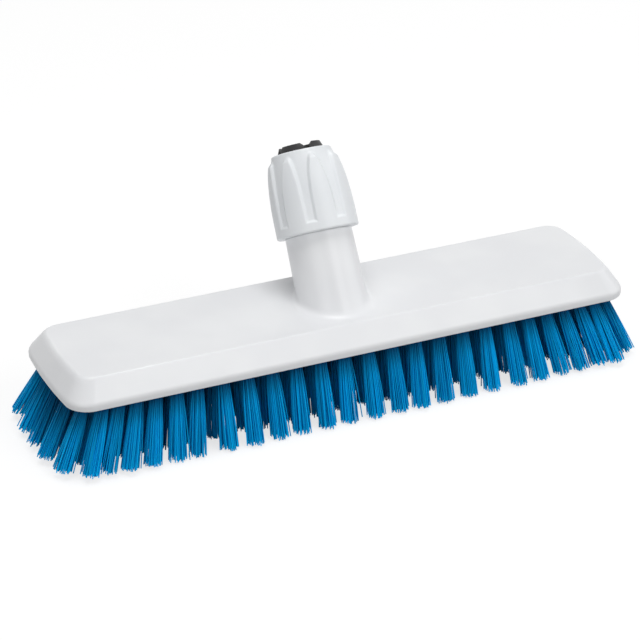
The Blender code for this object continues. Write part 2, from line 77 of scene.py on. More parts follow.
# Screw threads
PITCH = 3 * MM
THREAD_HEIGHT = 1.2 * MM
THREAD_ROOT = 1.5 * MM
THREAD_CREST = 0.7 * MM
THREAD_SINK = 0.4 * MM        # how deep the thread's root is buried
SPIGOT_TURNS = 6
NUT_TURNS = 4
THREAD_STEPS = 72
THREAD_RAMP = 0.33            # turns in which each end rises

# Clamp nut
NUT_BOTTOM = 34.3 * MM
NUT_HEIGHT = 41.9 * MM
NUT_RADIUS = 21 * MM
NUT_ROUND = 1.5 * MM
NUT_FOOT_ROUND = 1.0 * MM
NUT_FOOT_LOWERED = 0.22 * MM  # the nut looks seated on the shoulder
NUT_STEPS = 432
NUT_ROWS = 96
BAND_HEIGHT = 4.3 * MM
PETALS = 8
PETAL_DRAW_IN = 0.19          # share of the petals' radius lost up to the nut's top
PETAL_CURVE = 2.9             # how late it is lost
CHANNEL_DEPTH = 1.05 * MM     # between the petals' feet
DOME_DRAW_IN = 0.245          # the same two for the dome that they stand on
DOME_CURVE = 2.6
PETAL_RISE_CURVE = 1.6        # how late the channels deepen towards the top
PETAL_LEDGE = 1.6 * MM        # height in which the foot band falls away
PETAL_FOOT = 6 * MM
PETAL_TIP = 40 * MM
PETAL_TIP_LENGTH = 3.8 * MM   # in which a petal sinks into the dome
PETAL_FULL_BELOW_TIP = 4 * MM
PETAL_HALF_ANGLE = radians(15.9)
PETAL_EDGE_ANGLE = radians(5.6)
PETAL_NARROWS = 3.0           # how late a petal narrows to its tip
PETAL_BLUNTNESS = 0.62        # the lower, the blunter the tip
PETAL_TURN = radians(-4.3)
NUT_SKIRT_WALL = 0.6 * MM
RIM_ROUND = 0.35 * MM         # of the mouth's edge
RIM_STEPS = 3

# Collet
COLLET_TOP = 79.6 * MM
COLLET_BORE = 9.5 * MM
COLLET_MOUTH_RADIUS = 11.85 * MM
COLLET_TIP_RADIUS = 10.5 * MM
COLLET_SLEEVE = 7 * MM
COLLET_CHAMFER = 0.8 * MM
FLANGE_RADIUS = 14 * MM
FLANGE_HEIGHT = 2 * MM
FINGER_ROOT_RADIUS = 12.7 * MM
BEAD_HEIGHT = 0.5 * MM
BEAD_LENGTH = 2 * MM
BEAD_ABOVE_FLANGE = 6 * MM
FINGERS = 4
SLOT_WIDTH = 3.5 * MM
SLOT_TOP_WIDTH = 6.8 * MM
SLOT_FLARE_LENGTH = 1.4 * MM
SLOT_FLOOR_ABOVE_FLANGE = 1.5 * MM
SLOT_TURN = radians(-92.1)
COLLET_STEPS = 160
FINGER_BEVEL = 0.3 * MM
BEVEL_SEGMENTS = 2
BEVEL_ANGLE = radians(45)     # edges at least this sharp are softened
SLIVER = 0.002 * MM           # points closer than this are one point

# Tufts
OUTER_ROW = 30 * MM
ROW_SHARES = (0.207, 0.613, 1.0)  # of the outer row's distance from the middle
END_TUFT_SHARES = (0.0, 0.407, 0.813)
END_COLUMN_INSET = 6.5 * MM
EVEN_COLUMNS = 7              # one pitch apart, on each side of the middle
CLOSING_COLUMNS = 5           # further out, with shorter and shorter steps
CLOSING_SHARE = 0.846         # the first of these steps against the pitch
CLOSING_RATIO = 0.935         # each further step against the one before
END_GAP_SHARE = 1.015         # the step to the end column against the pitch
END_COLUMN_BOW = 3 * MM       # of the outer tufts towards the middle
FREE_LENGTH = 35.7 * MM       # of a solid strand below the block
TRIM = 0.5 * MM               # cut off flat where the tips stand
SIDE_SPLAY = 0.314            # the outer rows' lean, sideways against down
SPLAY_POWER = 1.3             # how late the rows lean, from the middle out
END_SPLAY = 0.41              # the end columns' lean
END_TUFT_INSET = 2.8 * MM     # of the bowed end columns, towards the middle
LEFT_END_LEAN = 1.2           # factors on the lean of the two end columns
RIGHT_END_LEAN = 0.85
INNER_SPLAY_EXTRA = 0.3       # more splay to the ends in the inner rows
UPRIGHT_COLUMNS = 5           # before the lean to the ends begins
TUFT_TIP = 2.5 * MM           # of the solid tufts, for their reach at the front
STRAND_TIP = 1.75 * MM        # and of their strands
HOLE_RADIUS = 2.75 * MM
HOLE_DEPTH = 1.6 * MM
HOLE_SIDES = 20
TUFT_LEAN = 0.045             # each tuft's own sideways lean, at most
TUFT_SEED = 461
TUFT_TURN = 1.7               # radians from one tuft's pattern to the next
SEED_STEP = 10                # between the banks' filament seeds
FILAMENTS = 68                # in each tuft
FILAMENT_LENGTH = 36.4 * MM   # below the block
FILAMENT_RADIUS = 0.28 * MM
FILAMENT_ROOT_SPREAD = 2.4 * MM
FILAMENT_TIP_SPREAD = 4.5 * MM
FILAMENT_BELLY = 0.4 * MM     # how far a tuft swells between root and tip
FILAMENT_SIDES = 5
FILAMENT_POINTS = 6
FILAMENT_RAGGED = 0.045       # share of the length that the shortest lack
FILAMENT_STRAY = 0.022        # sideways scatter per unit of length
LOOSE_SHARE = 0.07            # of the filaments, which stray further
LOOSE_FACTOR = 3.2
FILAMENT_WANDER = 0.7 * MM    # how far the tips bend off their line
WANDER_POWER = 2.0            # how late along a filament it bends
RAGGED_POWER = 1.6            # how few filaments are among the shortest
SUNFLOWER_ANGLE = 2.39996     # radians between neighbours in a sunflower pattern
BEND_STEPS = (97.0, 53.0)     # how far apart the filaments' bends are picked in noise

CLEARANCE = 0.3 * MM          # between pieces that don't touch
CUT_PAST = 2 * MM             # how far a cutter reaches past what it cuts
SMOOTH_ANGLE = radians(44)
MERGE_DISTANCE = 0.01 * MM

# The photograph's view: the middle of the block's top plane is the target
PHOTO_SIZE = 640
VIEW_AZIMUTH = radians(-24.25)
VIEW_ELEVATION = radians(27.25)
VIEW_DISTANCE = 1.412
FOCAL_PIXELS = 2805
TARGET_PIXEL = (331.0, 297.5)
SENSOR_WIDTH = 36
CLIP_START = 10 * MM

# Finish of the moulded plastics
GRAIN_SIZE = 0.5 * MM
GRAIN_DETAIL = 3.0
GRAIN_CONTRAST = 0.6
GRAIN_STRENGTH = 0.6
WAVE_SIZE = 40 * MM           # of the slow waviness under the grain
WAVE_SHARE = 0.35
TONE_RANGE = (0.35, 0.65)     # of the waviness, from the shade to the colour
SCRATCH_SIZE = 9 * MM
SCRATCH_TILTS = (0.3, 0.2)    # radians about X and Y
SCRATCH_SETS = ((0.5, 14.0), (-0.9, 18.0))  # radians about Z, and how long they are
SCRATCH_SPACING = 3.0
SCRATCH_RANGE = (0.66, 0.72)  # of the noise, from no scratch to a full one
SCRATCH_TONE = 0.12
SCRATCH_ROUGHNESS = 0.15
SCRATCH_DEPTH = 0.3           # against the grain's height
RUB_SCALE = 22.0              # rubbed patches in a metre
RUB_DETAIL = 4.0
RUB_RANGE = (0.45, 0.75)
RUB_ROUGHNESS = 0.08
# Sharp edges lighten towards the lightest tone: partly wear, partly a painted highlight
EDGE_MARK_WIDTH = 0.9 * MM
EDGE_MARK_STARTS = 0.002
EDGE_MARK_SOFTNESS = 0.05
EDGE_MARK_TONE = 0.5
EDGE_MARK_SAMPLES = 4
DUST_SCALE = 60.0             # patches of dust in a metre
DUST_DETAIL = 6.0
DUST_RANGE = (0.4, 0.8)
DUST_SLOPE = (0.3, 1.0)       # how far up a surface faces, from no dust to full
DUST_COLOUR = (0.62, 0.6, 0.56)
DUST_ROUGHNESS = 0.4
PLASTIC_IOR = 1.49
# The lightest tone of each finish is for scratches, and for sharp edges as wear and painted
# highlight
WHITE = {"colour": (0.84, 0.85, 0.865), "shade": (0.81, 0.82, 0.84),
         "wear_and_highlight": (0.88, 0.885, 0.89), "roughness": 0.42, "dust": 0.03,
         "grain_depth": 0.02 * MM, "coat": 0.25}
COOL_WHITE = {"colour": (0.825, 0.85, 0.872), "shade": (0.795, 0.822, 0.848),
              "wear_and_highlight": (0.86, 0.87, 0.88), "roughness": 0.44, "dust": 0.02,
              "grain_depth": 0.02 * MM, "coat": 0.2}
BLACK = {"colour": (0.009, 0.009, 0.01), "shade": (0.006, 0.006, 0.007),
         "wear_and_highlight": (0.04, 0.04, 0.042), "roughness": 0.42, "dust": 0.02,
         "grain_depth": 0.03 * MM, "coat": 0.0}

# Finish of the filaments: the middle colour is their own blue, the root colour painted shade and
# the tip colour painted light
BLUE = {"root": (0.0, 0.05, 0.16), "middle": (0.0, 0.44, 0.90), "tip": (0.0, 0.50, 0.97)}
# Painted shade: the colour darkens towards the root over a share of the length, a longer share
# in the inner rows
ROOT_SHADE = 0.48             # share of the length that is shaded in the outer rows
INNER_SHADE = 0.75            # added to that in the middle of the head
# Where the tips start to turn paler, as painted light
PALE_TIP_STARTS = 0.85
FIBRE_TONES = (0.76, 1.16)    # of the darkest and the lightest filament
STREAK_SIZE = 0.4 * MM
STREAK_SQUASH = 0.12          # along a filament, which makes the streaks long
STREAK_RANGE = (0.3, 0.7)
STREAK_ROUGHNESS = (0.34, 0.52)
STREAK_DEPTH = 0.03 * MM
STREAK_STRENGTH = 0.5
FILAMENT_IOR = 1.52
FILAMENT_SPECULAR = 0.06

# Studio
WORLD_STRENGTH = 0.26
FLOOR_HALF_SIZE = 4.0
FLOOR_TONE = 0.33
FLOOR_GLOW = 0.73
FLOOR_ROUGHNESS = 0.9
LIGHT_DISTANCE = 2.0
# Name, direction from the object, size in metres and what it adds to the light there
LIGHTS = (
    ("top_light", (0.0, 0.05, 1.0), 1.1, 0.485),
    ("front_light", (0.28, -0.74, 0.61), 0.9, 0.18),
    ("right_light", (0.88, -0.4, 0.26), 1.5, 0.245),
    ("left_light", (-0.7, -0.62, 0.33), 1.3, 0.215),
)

# Worked out from the sizes above
UNDERSIDE_Z = FREE_LENGTH - TRIM
TOP_Z = UNDERSIDE_Z + BLOCK_HEIGHT
SPIGOT_MIDDLE = (SHOULDER_AT + SPIGOT_TOP) / 2
NUT_TOP = NUT_BOTTOM + NUT_HEIGHT
FLANGE_BOTTOM = SPIGOT_TOP + CLEARANCE
FLANGE_TOP = FLANGE_BOTTOM + FLANGE_HEIGHT
THREAD_RADIUS = SPIGOT_RADIUS + THREAD_HEIGHT
NUT_BORE_RADIUS = THREAD_RADIUS + NUT_SKIRT_WALL
PETAL_FULL = PETAL_TIP - PETAL_FULL_BELOW_TIP
END_COLUMN_X = BLOCK_LENGTH / 2 - END_COLUMN_INSET
CLOSING_STEPS = [CLOSING_SHARE * CLOSING_RATIO ** k for k in range(CLOSING_COLUMNS)]
COLUMN_PITCH = END_COLUMN_X / (EVEN_COLUMNS - 0.5 + sum(CLOSING_STEPS) + END_GAP_SHARE)


def petal_radius(height):
    """Radius over the petals at a height above the nut's lower face."""
    return NUT_RADIUS * (1 - PETAL_DRAW_IN * (height / NUT_HEIGHT) ** PETAL_CURVE)


def dome_radius(height):
    """Radius between the petals and above their tips."""
    foot = NUT_RADIUS - CHANNEL_DEPTH
    return foot * (1 - DOME_DRAW_IN * (height / NUT_HEIGHT) ** DOME_CURVE)


FRONT_REACH = (OUTER_ROW + FREE_LENGTH * sin(atan2(SIDE_SPLAY, 1))
               + TUFT_TIP + STRAND_TIP)
REAR_REACH = (SOCKET_OFFSET_Y + (NUT_BOTTOM + PETAL_FULL) * sin(SOCKET_TILT)
              + petal_radius(PETAL_FULL) * cos(SOCKET_TILT))
BLOCK_Y = (FRONT_REACH - REAR_REACH) / 2
AXIS_PLACE = (Matrix.Translation((0, BLOCK_Y + SOCKET_OFFSET_Y, TOP_Z))
              @ Matrix.Rotation(-SOCKET_TILT, 4, "X"))
BLOCK_PLACE = Matrix.Translation((0, BLOCK_Y, 0))


# Short calls for node trees

def find_socket(sockets, key):
    """The usable socket of that name, or the socket at that index."""
    if isinstance(key, int):
        return sockets[key]
    return next(s for s in sockets if s.name == key and s.enabled)


def plug(tree, socket, value):
    if isinstance(value, bpy.types.NodeSocket):
        tree.links.new(value, socket)
    else:
        socket.default_value = value


def add(tree, kind, plugs=None, **settings):
    """A new node with its settings and inputs; an input is a value or a socket."""
    node = tree.nodes.new(kind)
    for key, value in settings.items():
        setattr(node, key, value)
    for key, value in (plugs or {}).items():
        plug(tree, find_socket(node.inputs, key), value)
    return node


def calc(tree, operation, *values):
    node = add(tree, "ShaderNodeMath", operation=operation)
    for socket, value in zip(node.inputs, values):
        plug(tree, socket, value)
    return node.outputs[0]


def plus(tree, first, second):
    return calc(tree, "ADD", first, second)


def minus(tree, first, second):
    return calc(tree, "SUBTRACT", first, second)


def times(tree, product, *factors):
    for factor in factors:
        product = calc(tree, "MULTIPLY", product, factor)
    return product


def over(tree, value, divisor):
    return calc(tree, "DIVIDE", value, divisor)


def mixed(tree, share, low, high):
    """The low value at share 0 and the high one at share 1."""
    return add(tree, "ShaderNodeMix", {"Factor": share, 2: low, 3: high}).outputs[0]


def vector_calc(tree, operation, *values):
    node = add(tree, "ShaderNodeVectorMath", operation=operation)
    for socket, value in zip(node.inputs, values):
        plug(tree, socket, value)
    return node.outputs["Vector"]


def scaled(tree, vector, factor):
    node = add(tree, "ShaderNodeVectorMath", {"Vector": vector, "Scale": factor},
               operation="SCALE")
    return node.outputs["Vector"]


def ramped(tree, value, low, high, to_low=0.0, to_high=1.0, smooth=True):
    node = add(tree, "ShaderNodeMapRange",
               {"Value": value, "From Min": low, "From Max": high,
                "To Min": to_low, "To Max": to_high},
               interpolation_type="SMOOTHSTEP" if smooth else "LINEAR")
    return node.outputs["Result"]


def noise(tree, place, scale, detail=2.0, roughness=0.5):
    """Outputs of smooth noise: the first is one value, "Color" is three."""
    return add(tree, "ShaderNodeTexNoise",
               {"Vector": place, "Scale": scale, "Detail": detail,
                "Roughness": roughness}).outputs


def combined(tree, x, y, z=0.0):
    return add(tree, "ShaderNodeCombineXYZ", {"X": x, "Y": y, "Z": z}).outputs[0]


def new_tree(name, kind, inputs, outputs):
    """A node tree with named sockets; returns it with its input and output nodes."""
    tree = bpy.data.node_groups.new(name, kind)
    for label, socket_kind in inputs:
        tree.interface.new_socket(name=label, in_out="INPUT", socket_type=socket_kind)
    for label, socket_kind in outputs:
        tree.interface.new_socket(name=label, in_out="OUTPUT", socket_type=socket_kind)
    given = tree.nodes.new("NodeGroupInput")
    result = tree.nodes.new("NodeGroupOutput")
    return tree, given.outputs, result.inputs


def new_shape_tree(name, floats, ints=(), materials=("Material",)):
    """A geometry tree whose inputs are a shape, sizes, counts and materials."""
    inputs = [("Geometry", "NodeSocketGeometry")]
    for labels, kind in ((floats, "Float"), (ints, "Int"), (materials, "Material")):
        inputs += [(label, f"NodeSocket{kind}") for label in labels]
    tree, given, result = new_tree(name, "GeometryNodeTree", inputs,
                                   [("Geometry", "NodeSocketGeometry")])
    tree.is_modifier = True
    return tree, given, result


def here(tree):
    """The x, y and z of each point of a shape."""
    place = add(tree, "GeometryNodeInputPosition").outputs[0]
    return add(tree, "ShaderNodeSeparateXYZ", {"Vector": place}).outputs


def stored(tree, shape, name, value, kind="FLOAT"):
    """The shape with a named value on each point."""
    return add(tree, "GeometryNodeStoreNamedAttribute",
               {"Geometry": shape, "Name": name, "Value": value},
               data_type=kind, domain="POINT").outputs[0]


def read(tree, name, kind="FLOAT"):
    return add(tree, "GeometryNodeInputNamedAttribute", {"Name": name},
               data_type=kind).outputs["Attribute"]


def chance(tree, index, seed):
    """A random value from 0 to 1 for each index."""
    return add(tree, "FunctionNodeRandomValue",
               {"Min": 0.0, "Max": 1.0, "ID": index, "Seed": seed},
               data_type="FLOAT").outputs[1]


def unit_line(tree, points):
    """A line of unit length up Z, and each point's share of the way along it."""
    line = add(tree, "GeometryNodeCurvePrimitiveLine", {"End": (0.0, 0.0, 1.0)})
    wire = add(tree, "GeometryNodeResampleCurve", {"Curve": line.outputs[0], "Count": points})
    return wire.outputs[0], add(tree, "GeometryNodeSplineParameter").outputs["Factor"]


def swept(tree, path, profile):
    """A closed solid from a profile swept along a path."""
    return add(tree, "GeometryNodeCurveToMesh",
               {"Curve": path, "Profile Curve": profile, "Fill Caps": True}).outputs[0]


def set_position(tree, shape, **plugs):
    return add(tree, "GeometryNodeSetPosition", {"Geometry": shape, **plugs}).outputs[0]


def realized(tree, points, shape, **plugs):
    """Real copies of a shape at the points."""
    copies = add(tree, "GeometryNodeInstanceOnPoints",
                 {"Points": points, "Instance": shape, **plugs})
    return add(tree, "GeometryNodeRealizeInstances",
               {"Geometry": copies.outputs[0]}).outputs[0]


def smooth_shaded(tree, shape):
    return add(tree, "GeometryNodeSetShadeSmooth", {0: shape}).outputs[0]


def finished(tree, shape, given, result):
    """End a geometry tree with the shape in its material."""
    dressed = add(tree, "GeometryNodeSetMaterial",
                  {"Geometry": shape, "Material": given["Material"]})
    tree.links.new(dressed.outputs[0], result[0])
    return tree


def attach_tree(obj, tree, values):
    """Put a geometry tree on an object and set its inputs by identifier."""
    modifier = obj.modifiers.new(tree.name, "NODES")
    modifier.node_group = tree
    for item in tree.interface.items_tree:
        if item.item_type == "SOCKET" and item.in_out == "INPUT" and item.name in values:
            modifier[item.identifier] = values[item.name]


# Geometry trees

def filament_tree():
    """Bundles of filaments that grow from points along each point's lean."""
    tree, given, result = new_shape_tree(
        "filament_tufts", ("Root spread", "Tip spread", "Length", "Radius", "Belly", "Ragged",
                           "Stray", "Wander", "Loose share", "Loose factor"),
        ("Filaments", "Sides", "Points", "Seed"))
    # One filament of unit length and radius, from z = 0 up
    line, along = unit_line(tree, given["Points"])
    line = stored(tree, line, "along", along)
    ring = add(tree, "GeometryNodeCurvePrimitiveCircle",
               {"Resolution": given["Sides"], "Radius": 1.0})
    strand = swept(tree, line, ring.outputs[0])
    # Places in each tuft, in a sunflower pattern
    copies = add(tree, "GeometryNodeDuplicateElements",
                 {"Geometry": given["Geometry"], "Amount": given["Filaments"]},
                 domain="POINT")
    number = copies.outputs["Duplicate Index"]
    share = over(tree, plus(tree, number, 0.5), given["Filaments"])
    turn = plus(tree, times(tree, number, SUNFLOWER_ANGLE), read(tree, "tuft"))
    out = combined(tree, calc(tree, "COSINE", turn), calc(tree, "SINE", turn))
    out = scaled(tree, out, calc(tree, "SQRT", share))
    index = add(tree, "GeometryNodeInputIndex").outputs[0]
    fibre = chance(tree, index, given["Seed"])
    roots = stored(tree, copies.outputs["Geometry"], "fibre", fibre)
    roots = stored(tree, roots, "outward", out, "FLOAT_VECTOR")
    roots = set_position(tree, roots, Offset=scaled(tree, out, given["Root spread"]))
    # Each one heads along the tuft's lean, opens outwards and strays a little
    opening = over(tree, minus(tree, given["Tip spread"], given["Root spread"]),
                   given["Length"])
    heading = vector_calc(tree, "ADD", read(tree, "lean", "FLOAT_VECTOR"),
                          scaled(tree, out, opening))
    loose = calc(tree, "LESS_THAN", fibre, given["Loose share"])
    stray = times(tree, given["Stray"],
                  ramped(tree, loose, 0.0, 1.0, 1.0, given["Loose factor"], smooth=False))
    scatter = add(tree, "FunctionNodeRandomValue",
                  {"Min": (-1.0, -1.0, 0.0), "Max": (1.0, 1.0, 0.0), "ID": index,
                   "Seed": plus(tree, given["Seed"], 1)},
                  data_type="FLOAT_VECTOR").outputs[0]
    heading = vector_calc(tree, "ADD", heading, scaled(tree, scatter, stray))
    aimed = add(tree, "FunctionNodeAlignRotationToVector", {"Vector": heading},
                axis="Z").outputs[0]
    lacking = chance(tree, index, plus(tree, given["Seed"], 2))
    lacking = times(tree, calc(tree, "POWER", lacking, RAGGED_POWER), given["Ragged"])
    length = times(tree, minus(tree, 1.0, lacking), given["Length"])
    grown = realized(tree, roots, strand, Rotation=aimed,
                     Scale=combined(tree, given["Radius"], given["Radius"], length))
    # Each filament bends a little its own way, most at the tip
    fibre = read(tree, "fibre")
    along = read(tree, "along")
    where = combined(tree, *[times(tree, fibre, step) for step in BEND_STEPS])
    bend = vector_calc(tree, "SUBTRACT", noise(tree, where, 1.0)["Color"], (0.5, 0.5, 0.5))
    bend = vector_calc(tree, "MULTIPLY", bend, (2.0, 2.0, 0.0))
    wander = times(tree, calc(tree, "POWER", along, WANDER_POWER), given["Wander"])
    # A tuft swells by its belly halfway, and not at all at root and tip
    swell = times(tree, along, minus(tree, 1.0, along), 4.0, given["Belly"])
    outward = read(tree, "outward", "FLOAT_VECTOR")
    bent = set_position(tree, grown, Offset=vector_calc(
        tree, "ADD", scaled(tree, bend, wander), scaled(tree, outward, swell)))
    # Nothing reaches below the plane that the head stands on
    x, y, z = here(tree)
    trimmed = set_position(tree, bent,
                           Position=combined(tree, x, y, calc(tree, "MAXIMUM", z, 0.0)))
    return finished(tree, smooth_shaded(tree, trimmed), given, result)


def petal_tree():
    """Raises a foot band and petals off a turned dome, about its own Z axis."""
    tree, given, result = new_shape_tree(
        "nut_petals", ("Bottom", "Top", "Foot rise", "Top rise", "Rise curve", "Band", "Ledge",
                       "Foot", "Tip", "Tip length", "Half angle", "Edge angle", "Narrows",
                       "Bluntness", "Turn", "Bore radius", "Bore top", "Mouth radius"),
        ("Petals",))
    x, y, z = here(tree)
    radius = calc(tree, "SQRT", plus(tree, times(tree, x, x), times(tree, y, y)))
    # Angle from the middle line of the nearest petal
    half_step = over(tree, pi, given["Petals"])
    angle = minus(tree, calc(tree, "ARCTAN2", y, x), given["Turn"])
    angle = calc(tree, "WRAP", angle, half_step, times(tree, half_step, -1.0))
    angle = calc(tree, "ABSOLUTE", angle)
    # A petal narrows to a blunt tip, and sinks into the dome there
    share = ramped(tree, z, given["Foot"], given["Tip"], smooth=False)
    half = minus(tree, 1.0, calc(tree, "POWER", share, given["Narrows"]))
    half = calc(tree, "POWER", half, given["Bluntness"])
    half = times(tree, half, given["Half angle"])
    edge = times(tree, given["Edge angle"], 0.5)
    petal = ramped(tree, angle, minus(tree, half, edge), plus(tree, half, edge), 1.0, 0.0)
    tip_start = minus(tree, given["Tip"], given["Tip length"])
    petal = times(tree, petal, ramped(tree, z, tip_start, given["Tip"], 1.0, 0.0))
    band = ramped(tree, z, given["Band"], plus(tree, given["Band"], given["Ledge"]), 1.0, 0.0)
    raised = calc(tree, "MAXIMUM", petal, band)
    along = ramped(tree, z, given["Bottom"], given["Top"], smooth=False)
    along = calc(tree, "POWER", along, given["Rise curve"])
    rise = ramped(tree, along, 0.0, 1.0, given["Foot rise"], given["Top rise"], smooth=False)
    # Only the outside is raised, not the bore or the mouth
    in_bore = calc(tree, "LESS_THAN", z, given["Bore top"])
    wall = ramped(tree, in_bore, 0.0, 1.0, given["Mouth radius"], given["Bore radius"],
                  smooth=False)
    outside = calc(tree, "GREATER_THAN", radius, wall)
    rise = times(tree, rise, raised, outside)
    outward = combined(tree, over(tree, x, radius), over(tree, y, radius))
    moved = set_position(tree, given["Geometry"], Offset=scaled(tree, outward, rise))
    return finished(tree, moved, given, result)


def thread_tree():
    """A screw thread wound about Z, in place of the shape that it is put on."""
    tree, given, result = new_shape_tree(
        "screw_thread", ("Radius", "Height", "Sink", "Pitch", "Turns", "Start", "Root", "Crest",
                         "Ramp"), ("Steps",))
    count = plus(tree, times(tree, given["Turns"], given["Steps"]), 1.0)
    wire, share = unit_line(tree, count)
    turns = times(tree, share, given["Turns"])
    left = minus(tree, given["Turns"], turns)
    rise = over(tree, calc(tree, "MINIMUM", turns, left), given["Ramp"])
    rise = calc(tree, "MINIMUM", rise, 1.0)
    wire = stored(tree, wire, "thread_turns", turns)
    wire = stored(tree, wire, "thread_rise", rise)
    # The profile's own x is the reach from foot to crest, and y the width
    profile = add(tree, "GeometryNodeCurvePrimitiveQuadrilateral",
                  {"Width": 1.0, "Height": 1.0}, mode="RECTANGLE")
    straight = swept(tree, wire, profile.outputs[0])
    turns = read(tree, "thread_turns")
    rise = read(tree, "thread_rise")
    x, y, _ = here(tree)
    at_crest = calc(tree, "GREATER_THAN", x, 0.0)
    side = calc(tree, "SIGN", y)
    foot = minus(tree, given["Radius"], given["Sink"])
    crest = plus(tree, given["Radius"], times(tree, given["Height"], rise))
    radius = mixed(tree, at_crest, foot, crest)
    width = mixed(tree, at_crest, given["Root"], given["Crest"])
    angle = times(tree, turns, 2 * pi)
    height = plus(tree, given["Start"], times(tree, turns, given["Pitch"]))
    half_width = times(tree, width, 0.5)
    height = plus(tree, height, times(tree, side, half_width))
    place = combined(tree, times(tree, radius, calc(tree, "COSINE", angle)),
                     times(tree, radius, calc(tree, "SINE", angle)), height)
    wound = smooth_shaded(tree, set_position(tree, straight, Position=place))
    return finished(tree, wound, given, result)


def hole_tree():
    """Short round plugs at the points, as cutters for the tufts' holes."""
    tree, given, result = new_shape_tree("tuft_holes", ("Radius", "Depth"), ("Sides",), ())
    post = add(tree, "GeometryNodeMeshCylinder",
               {"Vertices": given["Sides"], "Radius": given["Radius"],
                "Depth": times(tree, given["Depth"], 2.0)})
    tree.links.new(realized(tree, given["Geometry"], post.outputs[0]), result[0])
    return tree


# Meshes

def new_object(name, data):
    obj = bpy.data.objects.new(name, data)
    bpy.context.scene.collection.objects.link(obj)
    return obj


def discard(*objects):
    """Remove used objects with their meshes."""
    for obj in objects:
        mesh = obj.data
        bpy.data.objects.remove(obj)
        bpy.data.meshes.remove(mesh)


def scratch_object(name, bm):
    """An object from mesh code, which is freed."""
    mesh = bpy.data.meshes.new(name)
    bm.to_mesh(mesh)
    bm.free()
    return new_object(name, mesh)


def smooth(obj):
    obj.data.shade_smooth()
    obj.data.set_sharp_from_angle(angle=SMOOTH_ANGLE)
    return obj


def loft_into(bm, rings):
    """Skin closed rings of equal counts and cap both ends."""
    loops = [[bm.verts.new(point) for point in ring] for ring in rings]
    for low, high in zip(loops, loops[1:]):
        for i in range(len(low)):
            j = (i + 1) % len(low)
            bm.faces.new((low[i], low[j], high[j], high[i]))
    bm.faces.new(loops[0])
    bm.faces.new(loops[-1])
    bmesh.ops.recalc_face_normals(bm, faces=bm.faces)


def turned(profile, steps, closed=False):
    """A solid turned about Z from (radius, height) points."""
    bm = bmesh.new()
    verts = [bm.verts.new((radius, 0, height)) for radius, height in profile]
    edges = [bm.edges.new(pair) for pair in zip(verts, verts[1:])]
    if closed:
        edges.append(bm.edges.new((verts[-1], verts[0])))
    bmesh.ops.spin(bm, geom=verts + edges, axis=(0, 0, 1), cent=(0, 0, 0),
                   angle=2 * pi, steps=steps, use_merge=True)
    bmesh.ops.remove_doubles(bm, verts=bm.verts, dist=MERGE_DISTANCE)
    bmesh.ops.recalc_face_normals(bm, faces=bm.faces)
    return bm


def boolean(obj, other, operation):
    modifier = obj.modifiers.new(other.name, "BOOLEAN")
    modifier.operation = operation
    modifier.solver = "EXACT"
    modifier.object = other


def taken(name, obj, place, spent=()):
    """A finished piece: the object's worked-out mesh with its place in it."""
    graph = bpy.context.evaluated_depsgraph_get()
    mesh = bpy.data.meshes.new_from_object(obj.evaluated_get(graph),
                                           preserve_all_data_layers=True, depsgraph=graph)
    mesh.name = name
    mesh.transform(place)
    discard(obj, *spent)
    return new_object(name, mesh)


def dress(piece, material, body, slot, *nodes):
    """Give a piece its material and its place in the frame."""
    piece.data.materials.clear()
    piece.data.materials.append(material)
    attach(piece, body)
    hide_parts(*nodes)


def arc(centre, radius, start, end, steps, closed=False):
    """Points of an arc, with its end point only where it is closed."""
    angles = [start + (end - start) * k / steps for k in range(steps + closed)]
    return [(centre[0] + radius * cos(a), centre[1] + radius * sin(a)) for a in angles]


def rounded(centre, radius, start, end):
    """Points of a quarter round, both ends included."""
    return arc(centre, radius, start, end, ROUND_OVER_STEPS, closed=True)


def block_ring(side_inset, end_inset, z):
    """The block seen from above: straight sides, bowed ends, round corners."""
    corner = CORNER_RADIUS - CORNER_TIGHTENS * side_inset
    half_length = BLOCK_LENGTH / 2 - end_inset
    half_width = BLOCK_WIDTH / 2 - side_inset
    bow_radius = (half_width ** 2 + END_BOW ** 2) / (2 * END_BOW)
    bow_x = half_length - bow_radius
    corner_y = half_width - corner
    corner_x = bow_x + sqrt((bow_radius - corner) ** 2 - corner_y ** 2)
    turn = atan2(corner_y, corner_x - bow_x)
    end = arc((corner_x, -corner_y), corner, -pi / 2, -turn, CORNER_STEPS)
    end += arc((bow_x, 0), bow_radius, -turn, turn, END_STEPS)
    end += arc((corner_x, corner_y), corner, turn, pi / 2, CORNER_STEPS)
    end.append((corner_x, half_width))
    return [Vector((x, y, z)) for x, y in end + [(-x, -y) for x, y in end]]


def rounded_flat(share, starts, flat):
    """How far the rounded top edge has turned in, at a share of the slope's height."""
    turned_in = max(0.0, 1 - sqrt((1 - share) / (1 - starts)))
    return turned_in ** 2 * flat


def block_rings():
    rings = []
    for k in range(ROUND_OVER_STEPS + 1):
        angle = pi / 2 * k / ROUND_OVER_STEPS
        inset = LIP_ROUND * (1 - sin(angle))
        rings.append(block_ring(inset, inset, UNDERSIDE_Z + LIP_ROUND * (1 - cos(angle))))
    slope = BLOCK_HEIGHT - LIP_HEIGHT
    for k in range(CREASE_STEPS + 1):
        t = k / CREASE_STEPS
        share = t * t * LIP_CREASE / slope
        z = UNDERSIDE_Z + LIP_HEIGHT + LIP_CREASE * (t * t - (1 - t) ** 2)
        rings.append(block_ring(share * SIDE_RUN, share * END_RUN, z))
    for k in range(EDGE_STEPS + 1):
        share = 1 - (1 - k / EDGE_STEPS) ** 2 * (1 - END_ROUND_STARTS)
        z = UNDERSIDE_Z + LIP_HEIGHT + slope * share
        side = share * SIDE_RUN + rounded_flat(share, SIDE_ROUND_STARTS, SIDE_TOP_ROUND)
        end = share * END_RUN + rounded_flat(share, END_ROUND_STARTS, END_TOP_ROUND)
        rings.append(block_ring(side, end, z))
    return rings


def socket_radius(along):
    return SOCKET_RADIUS - SOCKET_TAPER * along


